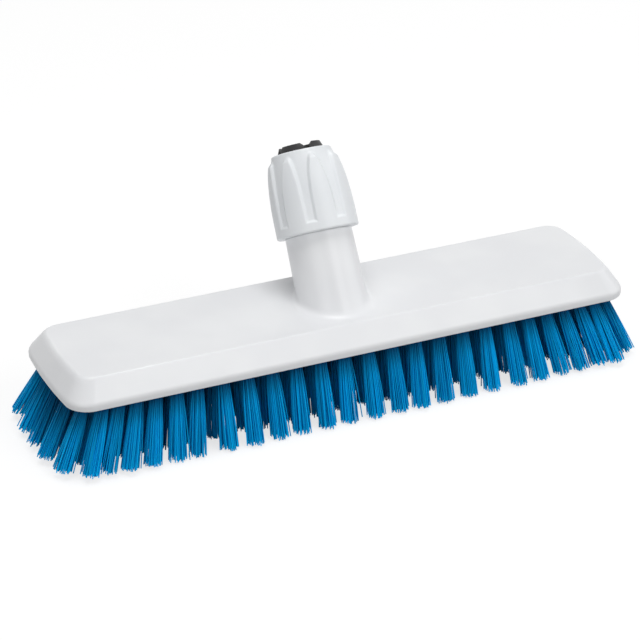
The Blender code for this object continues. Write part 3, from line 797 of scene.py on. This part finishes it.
def axis_point(radius, angle, along):
    """A point of the block's own frame from polar places round the socket axis."""
    side = radius * sin(angle)
    return Vector((radius * cos(angle),
                   SOCKET_OFFSET_Y + along * sin(SOCKET_TILT) + side * cos(SOCKET_TILT),
                   TOP_Z + along * cos(SOCKET_TILT) - side * sin(SOCKET_TILT)))


def socket_rings():
    """The socket's outside, from a skirt inside the block to the spigot."""
    rings = [[] for _ in range(FOOT_STEPS + 2)]
    angles = [2 * pi * k / SOCKET_STEPS for k in range(SOCKET_STEPS)]
    for angle in angles:
        lean = sin(angle) * tan(SOCKET_TILT)
        foot_at = SOCKET_RADIUS * lean / (1 + SOCKET_TAPER * lean)
        foot = axis_point(socket_radius(foot_at), angle, foot_at)
        out = Vector((cos(angle), sin(angle) * cos(SOCKET_TILT), 0)).normalized()
        low = foot + out * FOOT_FILLET
        high_at = foot_at + FOOT_FILLET
        high = axis_point(socket_radius(high_at), angle, high_at)
        rings[0].append(low - Vector((0, 0, SKIRT_DEPTH)))
        for step in range(FOOT_STEPS + 1):
            t = step / FOOT_STEPS
            point = (1 - t) ** 2 * low + 2 * t * (1 - t) * foot + t * t * high
            rings[step + 1].append(point + Vector((0, 0, FOOT_LIFT * (1 - t))))
    shoulder = socket_radius(SHOULDER_AT)
    for radius, along in ((shoulder, SHOULDER_AT - SHOULDER_CHAMFER),
                          (shoulder - SHOULDER_CHAMFER, SHOULDER_AT),
                          (SPIGOT_RADIUS, SHOULDER_AT), (SPIGOT_RADIUS, SPIGOT_TOP)):
        rings.append([axis_point(radius, angle, along) for angle in angles])
    return rings


def mouth_radius(along):
    """Radius of the socket's bore, which flares at the mouth."""
    rise = max(0.0, along - (SPIGOT_TOP - MOUTH_DEPTH))
    return BORE_RADIUS + MOUTH_FLARE * rise / MOUTH_DEPTH


def bank_layout():
    """Each bank of tufts as (x, bow, tuft y places), from the -X end to the +X end."""
    xs = [COLUMN_PITCH * (k + 0.5) for k in range(EVEN_COLUMNS)]
    for step in CLOSING_STEPS:
        xs.append(xs[-1] + COLUMN_PITCH * step)
    rows = sorted(side * share * OUTER_ROW for side in (-1, 1) for share in ROW_SHARES)
    ends = sorted({side * share * OUTER_ROW for side in (-1, 1) for share in END_TUFT_SHARES})
    half = [(x, 0.0, rows) for x in xs] + [(END_COLUMN_X, END_COLUMN_BOW, ends)]
    return [(-x, -bow, ys) for x, bow, ys in reversed(half)] + half


def tuft_lean(bank, y, rng):
    """Direction in which a tuft grows: its splay and a little lean of its own."""
    x, bow, _ = bank
    fan_start = COLUMN_PITCH * UPRIGHT_COLUMNS
    fan = max(0.0, (abs(x) - fan_start) / (END_COLUMN_X - fan_start)) * END_SPLAY
    if not bow:
        fan *= 1 + INNER_SPLAY_EXTRA * (1 - (y / OUTER_ROW) ** 2)
    else:
        fan *= LEFT_END_LEAN if x < 0 else RIGHT_END_LEAN
    lean = SIDE_SPLAY * (abs(y) / OUTER_ROW) ** SPLAY_POWER
    lean_x = (fan if x > 0 else -fan) + rng.uniform(-TUFT_LEAN, TUFT_LEAN)
    lean_y = (lean if y > 0 else -lean) + rng.uniform(-TUFT_LEAN, TUFT_LEAN)
    return Vector((lean_x, lean_y, -1)).normalized()


def tuft_places(bank):
    x, bow, ys = bank
    if bow:
        x -= END_TUFT_INSET * (1 if x > 0 else -1)
    return [(x - bow * (y / ys[-1]) ** 2, y) for y in ys]


def make_block(material):
    bm = bmesh.new()
    loft_into(bm, block_rings())
    block = smooth(scratch_object("block_body", bm))
    bm = bmesh.new()
    loft_into(bm, socket_rings())
    socket = smooth(scratch_object("socket_body", bm))
    boolean(block, socket, "UNION")
    past = SPIGOT_TOP + CUT_PAST
    profile = [(0, past), (mouth_radius(past), past), (BORE_RADIUS, SPIGOT_TOP - MOUTH_DEPTH),
               (BORE_RADIUS, BORE_FLOOR), (0, BORE_FLOOR)]
    bore = smooth(scratch_object("handle_bore", turned(profile, SOCKET_STEPS)))
    bore.matrix_world = BLOCK_PLACE.inverted() @ AXIS_PLACE
    boolean(block, bore, "DIFFERENCE")
    bm = bmesh.new()
    for bank in bank_layout():
        for x, y in tuft_places(bank):
            bm.verts.new((x, y, UNDERSIDE_Z))
    holes = scratch_object("tuft_holes", bm)
    attach_tree(holes, hole_tree(), {"Sides": HOLE_SIDES, "Radius": HOLE_RADIUS,
                                     "Depth": HOLE_DEPTH})
    boolean(block, holes, "DIFFERENCE")
    body = taken("block_cut", block, BLOCK_PLACE, (socket, bore, holes))
    thread = wound_thread("spigot_thread", SPIGOT_RADIUS, THREAD_HEIGHT, THREAD_SINK,
                          SPIGOT_TURNS, SPIGOT_MIDDLE, material)
    block = joined("head_block_visual", body, thread)
    shade_evenly(block)
    block = taken("moulded_block", block, Matrix())
    dress(block, material, "head", "white_plastic", "head_block")


def joined(name, *objects):
    """One object from several plain ones that stand at the origin."""
    bm = bmesh.new()
    for obj in objects:
        bm.from_mesh(obj.data)
    bmesh.ops.recalc_face_normals(bm, faces=bm.faces)
    result = scratch_object(name, bm)
    result.data.set_sharp_from_angle(angle=SMOOTH_ANGLE)
    discard(*objects)
    return result


def shade_evenly(obj):
    """Normals weighted by the faces' sizes, so that flat faces stay flat."""
    obj.modifiers.new("Shading", "WEIGHTED_NORMAL").keep_sharp = True


def wound_thread(name, radius, height, sink, turns, middle, material):
    """A screw thread about the socket's axis; a negative height winds it inside."""
    thread = scratch_object(name, bmesh.new())
    attach_tree(thread, THREAD, {
        "Radius": radius, "Height": height, "Sink": sink, "Pitch": PITCH,
        "Turns": float(turns), "Start": middle - turns * PITCH / 2, "Root": THREAD_ROOT,
        "Crest": THREAD_CREST, "Ramp": THREAD_RAMP, "Steps": THREAD_STEPS,
        "Material": material})
    return taken(f"{name}_mesh", thread, AXIS_PLACE)


def collet_radius(along):
    """Outer radius of the fingers, tapering from the flange to the mouth."""
    share = (along - FLANGE_TOP) / (NUT_TOP - FLANGE_TOP)
    return FINGER_ROOT_RADIUS + (COLLET_MOUTH_RADIUS - FINGER_ROOT_RADIUS) * share


def bead_points(gap):
    """The bead on the fingers, or with a gap the groove that holds it."""
    low = FLANGE_TOP + BEAD_ABOVE_FLANGE
    high = low + BEAD_LENGTH
    return [(collet_radius(high + gap) + gap, high + gap),
            (collet_radius(high) + BEAD_HEIGHT + gap, high - BEAD_HEIGHT + gap),
            (collet_radius(low) + BEAD_HEIGHT + gap, low + BEAD_HEIGHT - gap),
            (collet_radius(low - gap) + gap, low - gap)]


def make_nut(material):
    base = NUT_HEIGHT - NUT_ROUND
    foot = NUT_FOOT_ROUND - NUT_FOOT_LOWERED
    outer = rounded((dome_radius(0) - NUT_FOOT_ROUND, foot), NUT_FOOT_ROUND, -pi / 2, 0)
    for k in range(1, NUT_ROWS):
        height = foot + (base - foot) * k / NUT_ROWS
        outer.append((dome_radius(height), height))
    outer += rounded((dome_radius(base) - NUT_ROUND, base), NUT_ROUND, 0, pi / 2)
    mouth = collet_radius(NUT_TOP) + CLEARANCE
    rim = outer[-1][0]
    inner_round = mouth + RIM_ROUND
    outer += [(rim + (inner_round - rim) * k / RIM_STEPS, NUT_HEIGHT)
              for k in range(1, RIM_STEPS)]
    outer += rounded((inner_round, NUT_HEIGHT - RIM_ROUND), RIM_ROUND, pi / 2, pi)
    profile = [(radius, height + NUT_BOTTOM) for radius, height in outer]
    room = FLANGE_TOP + CLEARANCE
    seat = FLANGE_RADIUS + CLEARANCE
    profile += bead_points(CLEARANCE)
    profile += [(collet_radius(room) + CLEARANCE, room), (seat, room), (seat, FLANGE_TOP),
                (NUT_BORE_RADIUS, FLANGE_BOTTOM),
                (NUT_BORE_RADIUS, NUT_BOTTOM - NUT_FOOT_LOWERED)]
    nut = smooth(scratch_object("nut_body", turned(profile, NUT_STEPS, closed=True)))
    top_rise = petal_radius(NUT_HEIGHT) - dome_radius(NUT_HEIGHT)
    attach_tree(nut, petal_tree(), {
        "Petals": PETALS, "Bottom": NUT_BOTTOM, "Top": NUT_TOP, "Foot rise": CHANNEL_DEPTH,
        "Top rise": top_rise, "Rise curve": PETAL_RISE_CURVE, "Band": NUT_BOTTOM + BAND_HEIGHT,
        "Ledge": PETAL_LEDGE, "Foot": NUT_BOTTOM + PETAL_FOOT, "Tip": NUT_BOTTOM + PETAL_TIP,
        "Tip length": PETAL_TIP_LENGTH, "Half angle": PETAL_HALF_ANGLE,
        "Edge angle": PETAL_EDGE_ANGLE, "Narrows": PETAL_NARROWS,
        "Bluntness": PETAL_BLUNTNESS, "Turn": PETAL_TURN,
        "Bore radius": NUT_BORE_RADIUS + CLEARANCE, "Bore top": FLANGE_TOP + CLEARANCE / 2,
        "Mouth radius": seat + CLEARANCE, "Material": material})
    nut = taken("nut_shell", nut, AXIS_PLACE)
    thread = wound_thread("nut_thread", NUT_BORE_RADIUS, -THREAD_HEIGHT, -THREAD_SINK,
                          NUT_TURNS, SPIGOT_MIDDLE + PITCH / 2, material)
    nut = joined("petal_nut", nut, thread)
    dress(nut, material, "nut", "nut_plastic", "clamp_nut")


def make_collet(material):
    sleeve_bottom = SPIGOT_TOP - COLLET_SLEEVE
    mouth = [(mouth_radius(SPIGOT_TOP) - CLEARANCE, SPIGOT_TOP),
             (mouth_radius(sleeve_bottom + COLLET_CHAMFER) - CLEARANCE,
              sleeve_bottom + COLLET_CHAMFER),
             (mouth_radius(sleeve_bottom) - CLEARANCE - COLLET_CHAMFER / 2, sleeve_bottom)]
    profile = [(COLLET_TIP_RADIUS, COLLET_TOP), (COLLET_MOUTH_RADIUS, NUT_TOP)]
    profile += bead_points(0.0)
    profile += [(FINGER_ROOT_RADIUS, FLANGE_TOP), (FLANGE_RADIUS, FLANGE_TOP),
                (FLANGE_RADIUS, FLANGE_BOTTOM), (mouth[0][0], FLANGE_BOTTOM)]
    profile += mouth[1:]
    profile += [(COLLET_BORE, sleeve_bottom), (COLLET_BORE, COLLET_TOP)]
    collet = smooth(scratch_object("collet_body", turned(profile, COLLET_STEPS, closed=True)))
    bm = bmesh.new()
    inner = COLLET_BORE - CUT_PAST
    outer = FLANGE_RADIUS + CUT_PAST
    widths = ((FLANGE_TOP + SLOT_FLOOR_ABOVE_FLANGE, SLOT_WIDTH),
              (COLLET_TOP - SLOT_FLARE_LENGTH, SLOT_WIDTH),
              (COLLET_TOP + CLEARANCE, SLOT_TOP_WIDTH))
    for k in range(FINGERS):
        turn = Matrix.Rotation(SLOT_TURN + 2 * pi * k / FINGERS, 3, "Z")
        rings = []
        for along, width in widths:
            corners = ((inner, -width / 2), (outer, -width / 2), (outer, width / 2),
                       (inner, width / 2))
            rings.append([turn @ Vector((x, y, along)) for x, y in corners])
        loft_into(bm, rings)
    slots = scratch_object("finger_slots", bm)
    boolean(collet, slots, "DIFFERENCE")
    bevel = collet.modifiers.new("Soft edges", "BEVEL")
    bevel.width = FINGER_BEVEL
    bevel.segments = BEVEL_SEGMENTS
    bevel.limit_method = "ANGLE"
    bevel.angle_limit = BEVEL_ANGLE
    bevel.use_clamp_overlap = True
    weld = collet.modifiers.new("Close slivers", "WELD")
    weld.merge_threshold = SLIVER
    shade_evenly(collet)
    collet = taken("split_collet", collet, AXIS_PLACE, (slots,))
    dress(collet, material, "collet", "black_plastic", "collet")


def make_bristles(material):
    tree = filament_tree()
    rng = Random(TUFT_SEED)
    number = 0
    for index, bank in enumerate(bank_layout(), start=1):
        bm = bmesh.new()
        lean = bm.verts.layers.float_vector.new("lean")
        tuft = bm.verts.layers.float.new("tuft")
        inside = bm.verts.layers.float.new("inside")
        for x, y in tuft_places(bank):
            vert = bm.verts.new((x, y, UNDERSIDE_Z + HOLE_DEPTH - CLEARANCE))
            vert[lean] = tuft_lean(bank, y, rng)
            vert[tuft] = number * TUFT_TURN
            # How far in from the outer rows a tuft stands, which lengthens the painted shade on
            # its filaments
            vert[inside] = 1 - abs(y) / OUTER_ROW
            number += 1
        roots = scratch_object("tuft_roots", bm)
        attach_tree(roots, tree, {
            "Filaments": FILAMENTS, "Root spread": FILAMENT_ROOT_SPREAD,
            "Tip spread": FILAMENT_TIP_SPREAD,
            "Length": FILAMENT_LENGTH + HOLE_DEPTH - CLEARANCE,
            "Radius": FILAMENT_RADIUS, "Belly": FILAMENT_BELLY, "Ragged": FILAMENT_RAGGED,
            "Stray": FILAMENT_STRAY, "Wander": FILAMENT_WANDER,
            "Loose share": LOOSE_SHARE, "Loose factor": LOOSE_FACTOR,
            "Sides": FILAMENT_SIDES, "Points": FILAMENT_POINTS,
            "Seed": index * SEED_STEP, "Material": material})
        bristles = taken(f"bristles_{index:02d}", roots, BLOCK_PLACE)
        dress(bristles, material, "head", "blue_bristle", f"tuft_bank_{index:02d}")


# Materials

def object_place(tree):
    return add(tree, "ShaderNodeTexCoord").outputs["Object"]


def per_metre(tree, size):
    """The noise scale that gives spots of a size."""
    return over(tree, 1.0, size)


def new_shader_group(name, inputs, outputs):
    """A shader node group whose sockets all carry single values."""
    return new_tree(name, "ShaderNodeTree", [(label, "NodeSocketFloat") for label in inputs],
                    [(label, "NodeSocketFloat") for label in outputs])


def mould_grain_group():
    """Fine surface grain and slow waviness of moulded plastic."""
    tree, given, result = new_shader_group(
        "mould_grain", ("Grain size", "Wave size", "Wave share"), ("Height", "Tone"))
    place = object_place(tree)
    fine = noise(tree, place, per_metre(tree, given["Grain size"]), GRAIN_DETAIL,
                 GRAIN_CONTRAST)[0]
    slow = noise(tree, place, per_metre(tree, given["Wave size"]))[0]
    tree.links.new(mixed(tree, given["Wave share"], fine, slow), result["Height"])
    tree.links.new(slow, result["Tone"])
    return tree


def handling_marks_group():
    """Hairline scratches and faint rubbed patches."""
    tree, given, result = new_shader_group(
        "handling_marks", ("Scratch size", "Amount"), ("Scratches", "Rubbed"))
    place = object_place(tree)
    masks = []
    for turn, stretch in SCRATCH_SETS:
        turned_place = add(tree, "ShaderNodeMapping",
                           {"Vector": place, "Rotation": (*SCRATCH_TILTS, turn),
                            "Scale": (1.0, stretch, SCRATCH_SPACING)}).outputs[0]
        lines = noise(tree, turned_place, per_metre(tree, given["Scratch size"]))[0]
        masks.append(ramped(tree, lines, *SCRATCH_RANGE))
    both = calc(tree, "MAXIMUM", *masks)
    patch = ramped(tree, noise(tree, place, RUB_SCALE, RUB_DETAIL)[0], *RUB_RANGE)
    tree.links.new(times(tree, both, given["Amount"]), result["Scratches"])
    tree.links.new(times(tree, patch, given["Amount"]), result["Rubbed"])
    return tree


def edge_highlight_and_wear_group():
    """Where an edge turns sharply, for wear and a painted highlight: the bent normal against the
    true one.
    """
    tree, given, result = new_shader_group("edge_highlight_and_wear", ("Width", "Softness"), ("Mask",))
    bent = add(tree, "ShaderNodeBevel", {"Radius": given["Width"]},
               samples=EDGE_MARK_SAMPLES).outputs[0]
    true = add(tree, "ShaderNodeNewGeometry").outputs["Normal"]
    dot = add(tree, "ShaderNodeVectorMath", {0: bent, 1: true}, operation="DOT_PRODUCT")
    turned_away = minus(tree, 1.0, dot.outputs["Value"])
    tree.links.new(ramped(tree, turned_away, EDGE_MARK_STARTS, given["Softness"]), result["Mask"])
    return tree


def settled_dust_group():
    """Thin dust on surfaces that face up."""
    tree, given, result = new_shader_group("settled_dust", ("Amount",), ("Mask",))
    normal = add(tree, "ShaderNodeNewGeometry").outputs["Normal"]
    up = add(tree, "ShaderNodeSeparateXYZ", {"Vector": normal}).outputs[2]
    cloud = noise(tree, object_place(tree), DUST_SCALE, DUST_DETAIL)[0]
    mask = times(tree, ramped(tree, up, *DUST_SLOPE), ramped(tree, cloud, *DUST_RANGE),
                 given["Amount"])
    tree.links.new(mask, result["Mask"])
    return tree


def use_group(tree, group, values):
    node = add(tree, "ShaderNodeGroup", node_tree=group)
    for key, value in values.items():
        plug(tree, node.inputs[key], value)
    return node.outputs


def new_material(name):
    material = bpy.data.materials.new(name)
    material.use_nodes = True
    tree = material.node_tree
    return material, tree, tree.nodes["Principled BSDF"]


def blend_colour(tree, factor, low, high):
    """A colour between two, each a socket or red, green and blue."""
    node = add(tree, "ShaderNodeMix", {"Factor": factor}, data_type="RGBA")
    for label, colour in (("A", low), ("B", high)):
        value = (*colour, 1) if isinstance(colour, tuple) else colour
        plug(tree, find_socket(node.inputs, label), value)
    return find_socket(node.outputs, "Result")


def add_bump(tree, shader, height, depth, strength):
    bump = add(tree, "ShaderNodeBump", {"Height": height, "Distance": depth,
                                        "Strength": strength})
    plug(tree, shader.inputs["Normal"], bump.outputs[0])


def moulded_plastic(name, colour, shade, wear_and_highlight, roughness, dust, grain_depth, coat):
    """Moulded plastic with grain, slow tone, hairlines, dust, and sharp edges lightened partly
    by rubbing and partly as a painted highlight.
    """
    material, tree, shader = new_material(name)
    grain = use_group(tree, GRAIN, {"Grain size": GRAIN_SIZE, "Wave size": WAVE_SIZE,
                                    "Wave share": WAVE_SHARE})
    marks = use_group(tree, MARKS, {"Scratch size": SCRATCH_SIZE, "Amount": 1.0})
    edge = use_group(tree, EDGES, {"Width": EDGE_MARK_WIDTH, "Softness": EDGE_MARK_SOFTNESS})
    settled = use_group(tree, DUST, {"Amount": dust})
    tone = ramped(tree, grain["Tone"], *TONE_RANGE)
    colour_now = blend_colour(tree, tone, shade, colour)
    # Sharp edges lighten as wear and painted highlight, scratches as real marks
    for mask, share in ((edge["Mask"], EDGE_MARK_TONE), (marks["Scratches"], SCRATCH_TONE)):
        colour_now = blend_colour(tree, times(tree, mask, share), colour_now, wear_and_highlight)
    colour_now = blend_colour(tree, settled["Mask"], colour_now, DUST_COLOUR)
    plug(tree, shader.inputs["Base Color"], colour_now)
    rough = roughness
    for mask, more in ((marks["Rubbed"], RUB_ROUGHNESS),
                       (marks["Scratches"], SCRATCH_ROUGHNESS),
                       (settled["Mask"], DUST_ROUGHNESS)):
        rough = plus(tree, rough, times(tree, mask, more))
    plug(tree, shader.inputs["Roughness"], rough)
    shader.inputs["IOR"].default_value = PLASTIC_IOR
    shader.inputs["Coat Weight"].default_value = coat
    height = minus(tree, grain["Height"], times(tree, marks["Scratches"], SCRATCH_DEPTH))
    add_bump(tree, shader, height, grain_depth, GRAIN_STRENGTH)
    return material


def filament_plastic(name, root, middle, tip):
    """Blue filaments, each its own tone, with painted shade towards the root that reaches
    further in the inner rows and painted light at paler tips.
    """
    material, tree, shader = new_material(name)
    along, fibre, inside = [add(tree, "ShaderNodeAttribute", attribute_name=label).outputs["Fac"]
                            for label in ("along", "fibre", "inside")]
    # Painted shade: darker from the root up, further up in the inner rows
    shaded = plus(tree, ROOT_SHADE, times(tree, inside, INNER_SHADE))
    colour_now = blend_colour(tree, ramped(tree, along, 0.0, shaded), root, middle)
    # Painted light: paler towards the tips
    colour_now = blend_colour(tree, ramped(tree, along, PALE_TIP_STARTS, 1.0), colour_now, tip)
    tone = ramped(tree, fibre, 0.0, 1.0, *FIBRE_TONES, smooth=False)
    bright = add(tree, "ShaderNodeHueSaturation", {"Color": colour_now, "Value": tone})
    plug(tree, shader.inputs["Base Color"], bright.outputs[0])
    streak = add(tree, "ShaderNodeMapping", {"Vector": object_place(tree),
                                             "Scale": (1.0, 1.0, STREAK_SQUASH)})
    lines = noise(tree, streak.outputs[0], 1 / STREAK_SIZE)[0]
    plug(tree, shader.inputs["Roughness"],
         ramped(tree, lines, *STREAK_RANGE, *STREAK_ROUGHNESS))
    add_bump(tree, shader, lines, STREAK_DEPTH, STREAK_STRENGTH)
    shader.inputs["IOR"].default_value = FILAMENT_IOR
    shader.inputs["Specular IOR Level"].default_value = FILAMENT_SPECULAR
    return material


# Stage

def aim(obj, place, target):
    obj.location = place
    obj.rotation_euler = (target - Vector(place)).to_track_quat("-Z", "Y").to_euler()


def make_camera():
    back = Vector((sin(VIEW_AZIMUTH) * cos(VIEW_ELEVATION),
                   -cos(VIEW_AZIMUTH) * cos(VIEW_ELEVATION), sin(VIEW_ELEVATION)))
    target = Vector((0, BLOCK_Y, TOP_Z))
    data = bpy.data.cameras.new("photo_view")
    camera = new_object("photo_view", data)
    aim(camera, target + back * VIEW_DISTANCE, target)
    data.sensor_width = SENSOR_WIDTH
    data.lens = FOCAL_PIXELS / PHOTO_SIZE * SENSOR_WIDTH
    data.shift_x = (PHOTO_SIZE / 2 - TARGET_PIXEL[0]) / PHOTO_SIZE
    data.shift_y = (TARGET_PIXEL[1] - PHOTO_SIZE / 2) / PHOTO_SIZE
    data.clip_start = CLIP_START
    bpy.context.scene.camera = camera


def make_light(name, heading, size, brightness):
    """An area light in a direction from the object; brightness is what it adds there."""
    data = bpy.data.lights.new(name, "AREA")
    data.size = size
    data.energy = brightness * (pi * LIGHT_DISTANCE) ** 2
    light = new_object(name, data)
    middle = Vector((0, 0, TOP_Z))
    aim(light, middle + Vector(heading).normalized() * LIGHT_DISTANCE, middle)


def seen_rays(tree):
    """1 on rays that show the background: camera, glossy and transmission rays."""
    path = add(tree, "ShaderNodeLightPath").outputs
    seen = calc(tree, "MAXIMUM", path["Is Camera Ray"], path["Is Glossy Ray"])
    return calc(tree, "MAXIMUM", seen, path["Is Transmission Ray"])


def make_stage():
    scene = bpy.context.scene
    scene.view_settings.view_transform = "Standard"
    world = bpy.data.worlds.new("studio")
    scene.world = world
    world.use_nodes = True
    tree = world.node_tree
    background = tree.nodes["Background"]
    background.inputs["Color"].default_value = (1, 1, 1, 1)
    strength = ramped(tree, seen_rays(tree), 0.0, 1.0, WORLD_STRENGTH, 1.0, smooth=False)
    plug(tree, background.inputs["Strength"], strength)
    bm = bmesh.new()
    bmesh.ops.create_grid(bm, x_segments=1, y_segments=1, size=FLOOR_HALF_SIZE)
    floor = scratch_object("floor", bm)
    material, tree, shader = new_material("studio_floor")
    shader.inputs["Base Color"].default_value = (FLOOR_TONE, FLOOR_TONE, FLOOR_TONE, 1)
    shader.inputs["Roughness"].default_value = FLOOR_ROUGHNESS
    shader.inputs["Specular IOR Level"].default_value = 0.0
    shader.inputs["Emission Color"].default_value = (1, 1, 1, 1)
    plug(tree, shader.inputs["Emission Strength"], times(tree, seen_rays(tree), FLOOR_GLOW))
    floor.data.materials.append(material)
    for light in LIGHTS:
        make_light(*light)


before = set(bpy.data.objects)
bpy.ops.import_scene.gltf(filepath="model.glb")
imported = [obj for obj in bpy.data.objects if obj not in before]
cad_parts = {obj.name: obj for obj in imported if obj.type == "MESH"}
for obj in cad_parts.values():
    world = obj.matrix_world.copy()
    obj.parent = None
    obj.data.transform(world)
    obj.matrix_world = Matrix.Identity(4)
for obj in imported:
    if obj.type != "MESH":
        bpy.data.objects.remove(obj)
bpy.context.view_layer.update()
THREAD = thread_tree()
GRAIN = mould_grain_group()
MARKS = handling_marks_group()
EDGES = edge_highlight_and_wear_group()
DUST = settled_dust_group()
make_camera()
make_block(moulded_plastic("white_moulding", **WHITE))
make_nut(moulded_plastic("nut_moulding", **COOL_WHITE))
make_collet(moulded_plastic("collet_moulding", **BLACK))
make_bristles(filament_plastic("blue_filament", **BLUE))
make_stage()
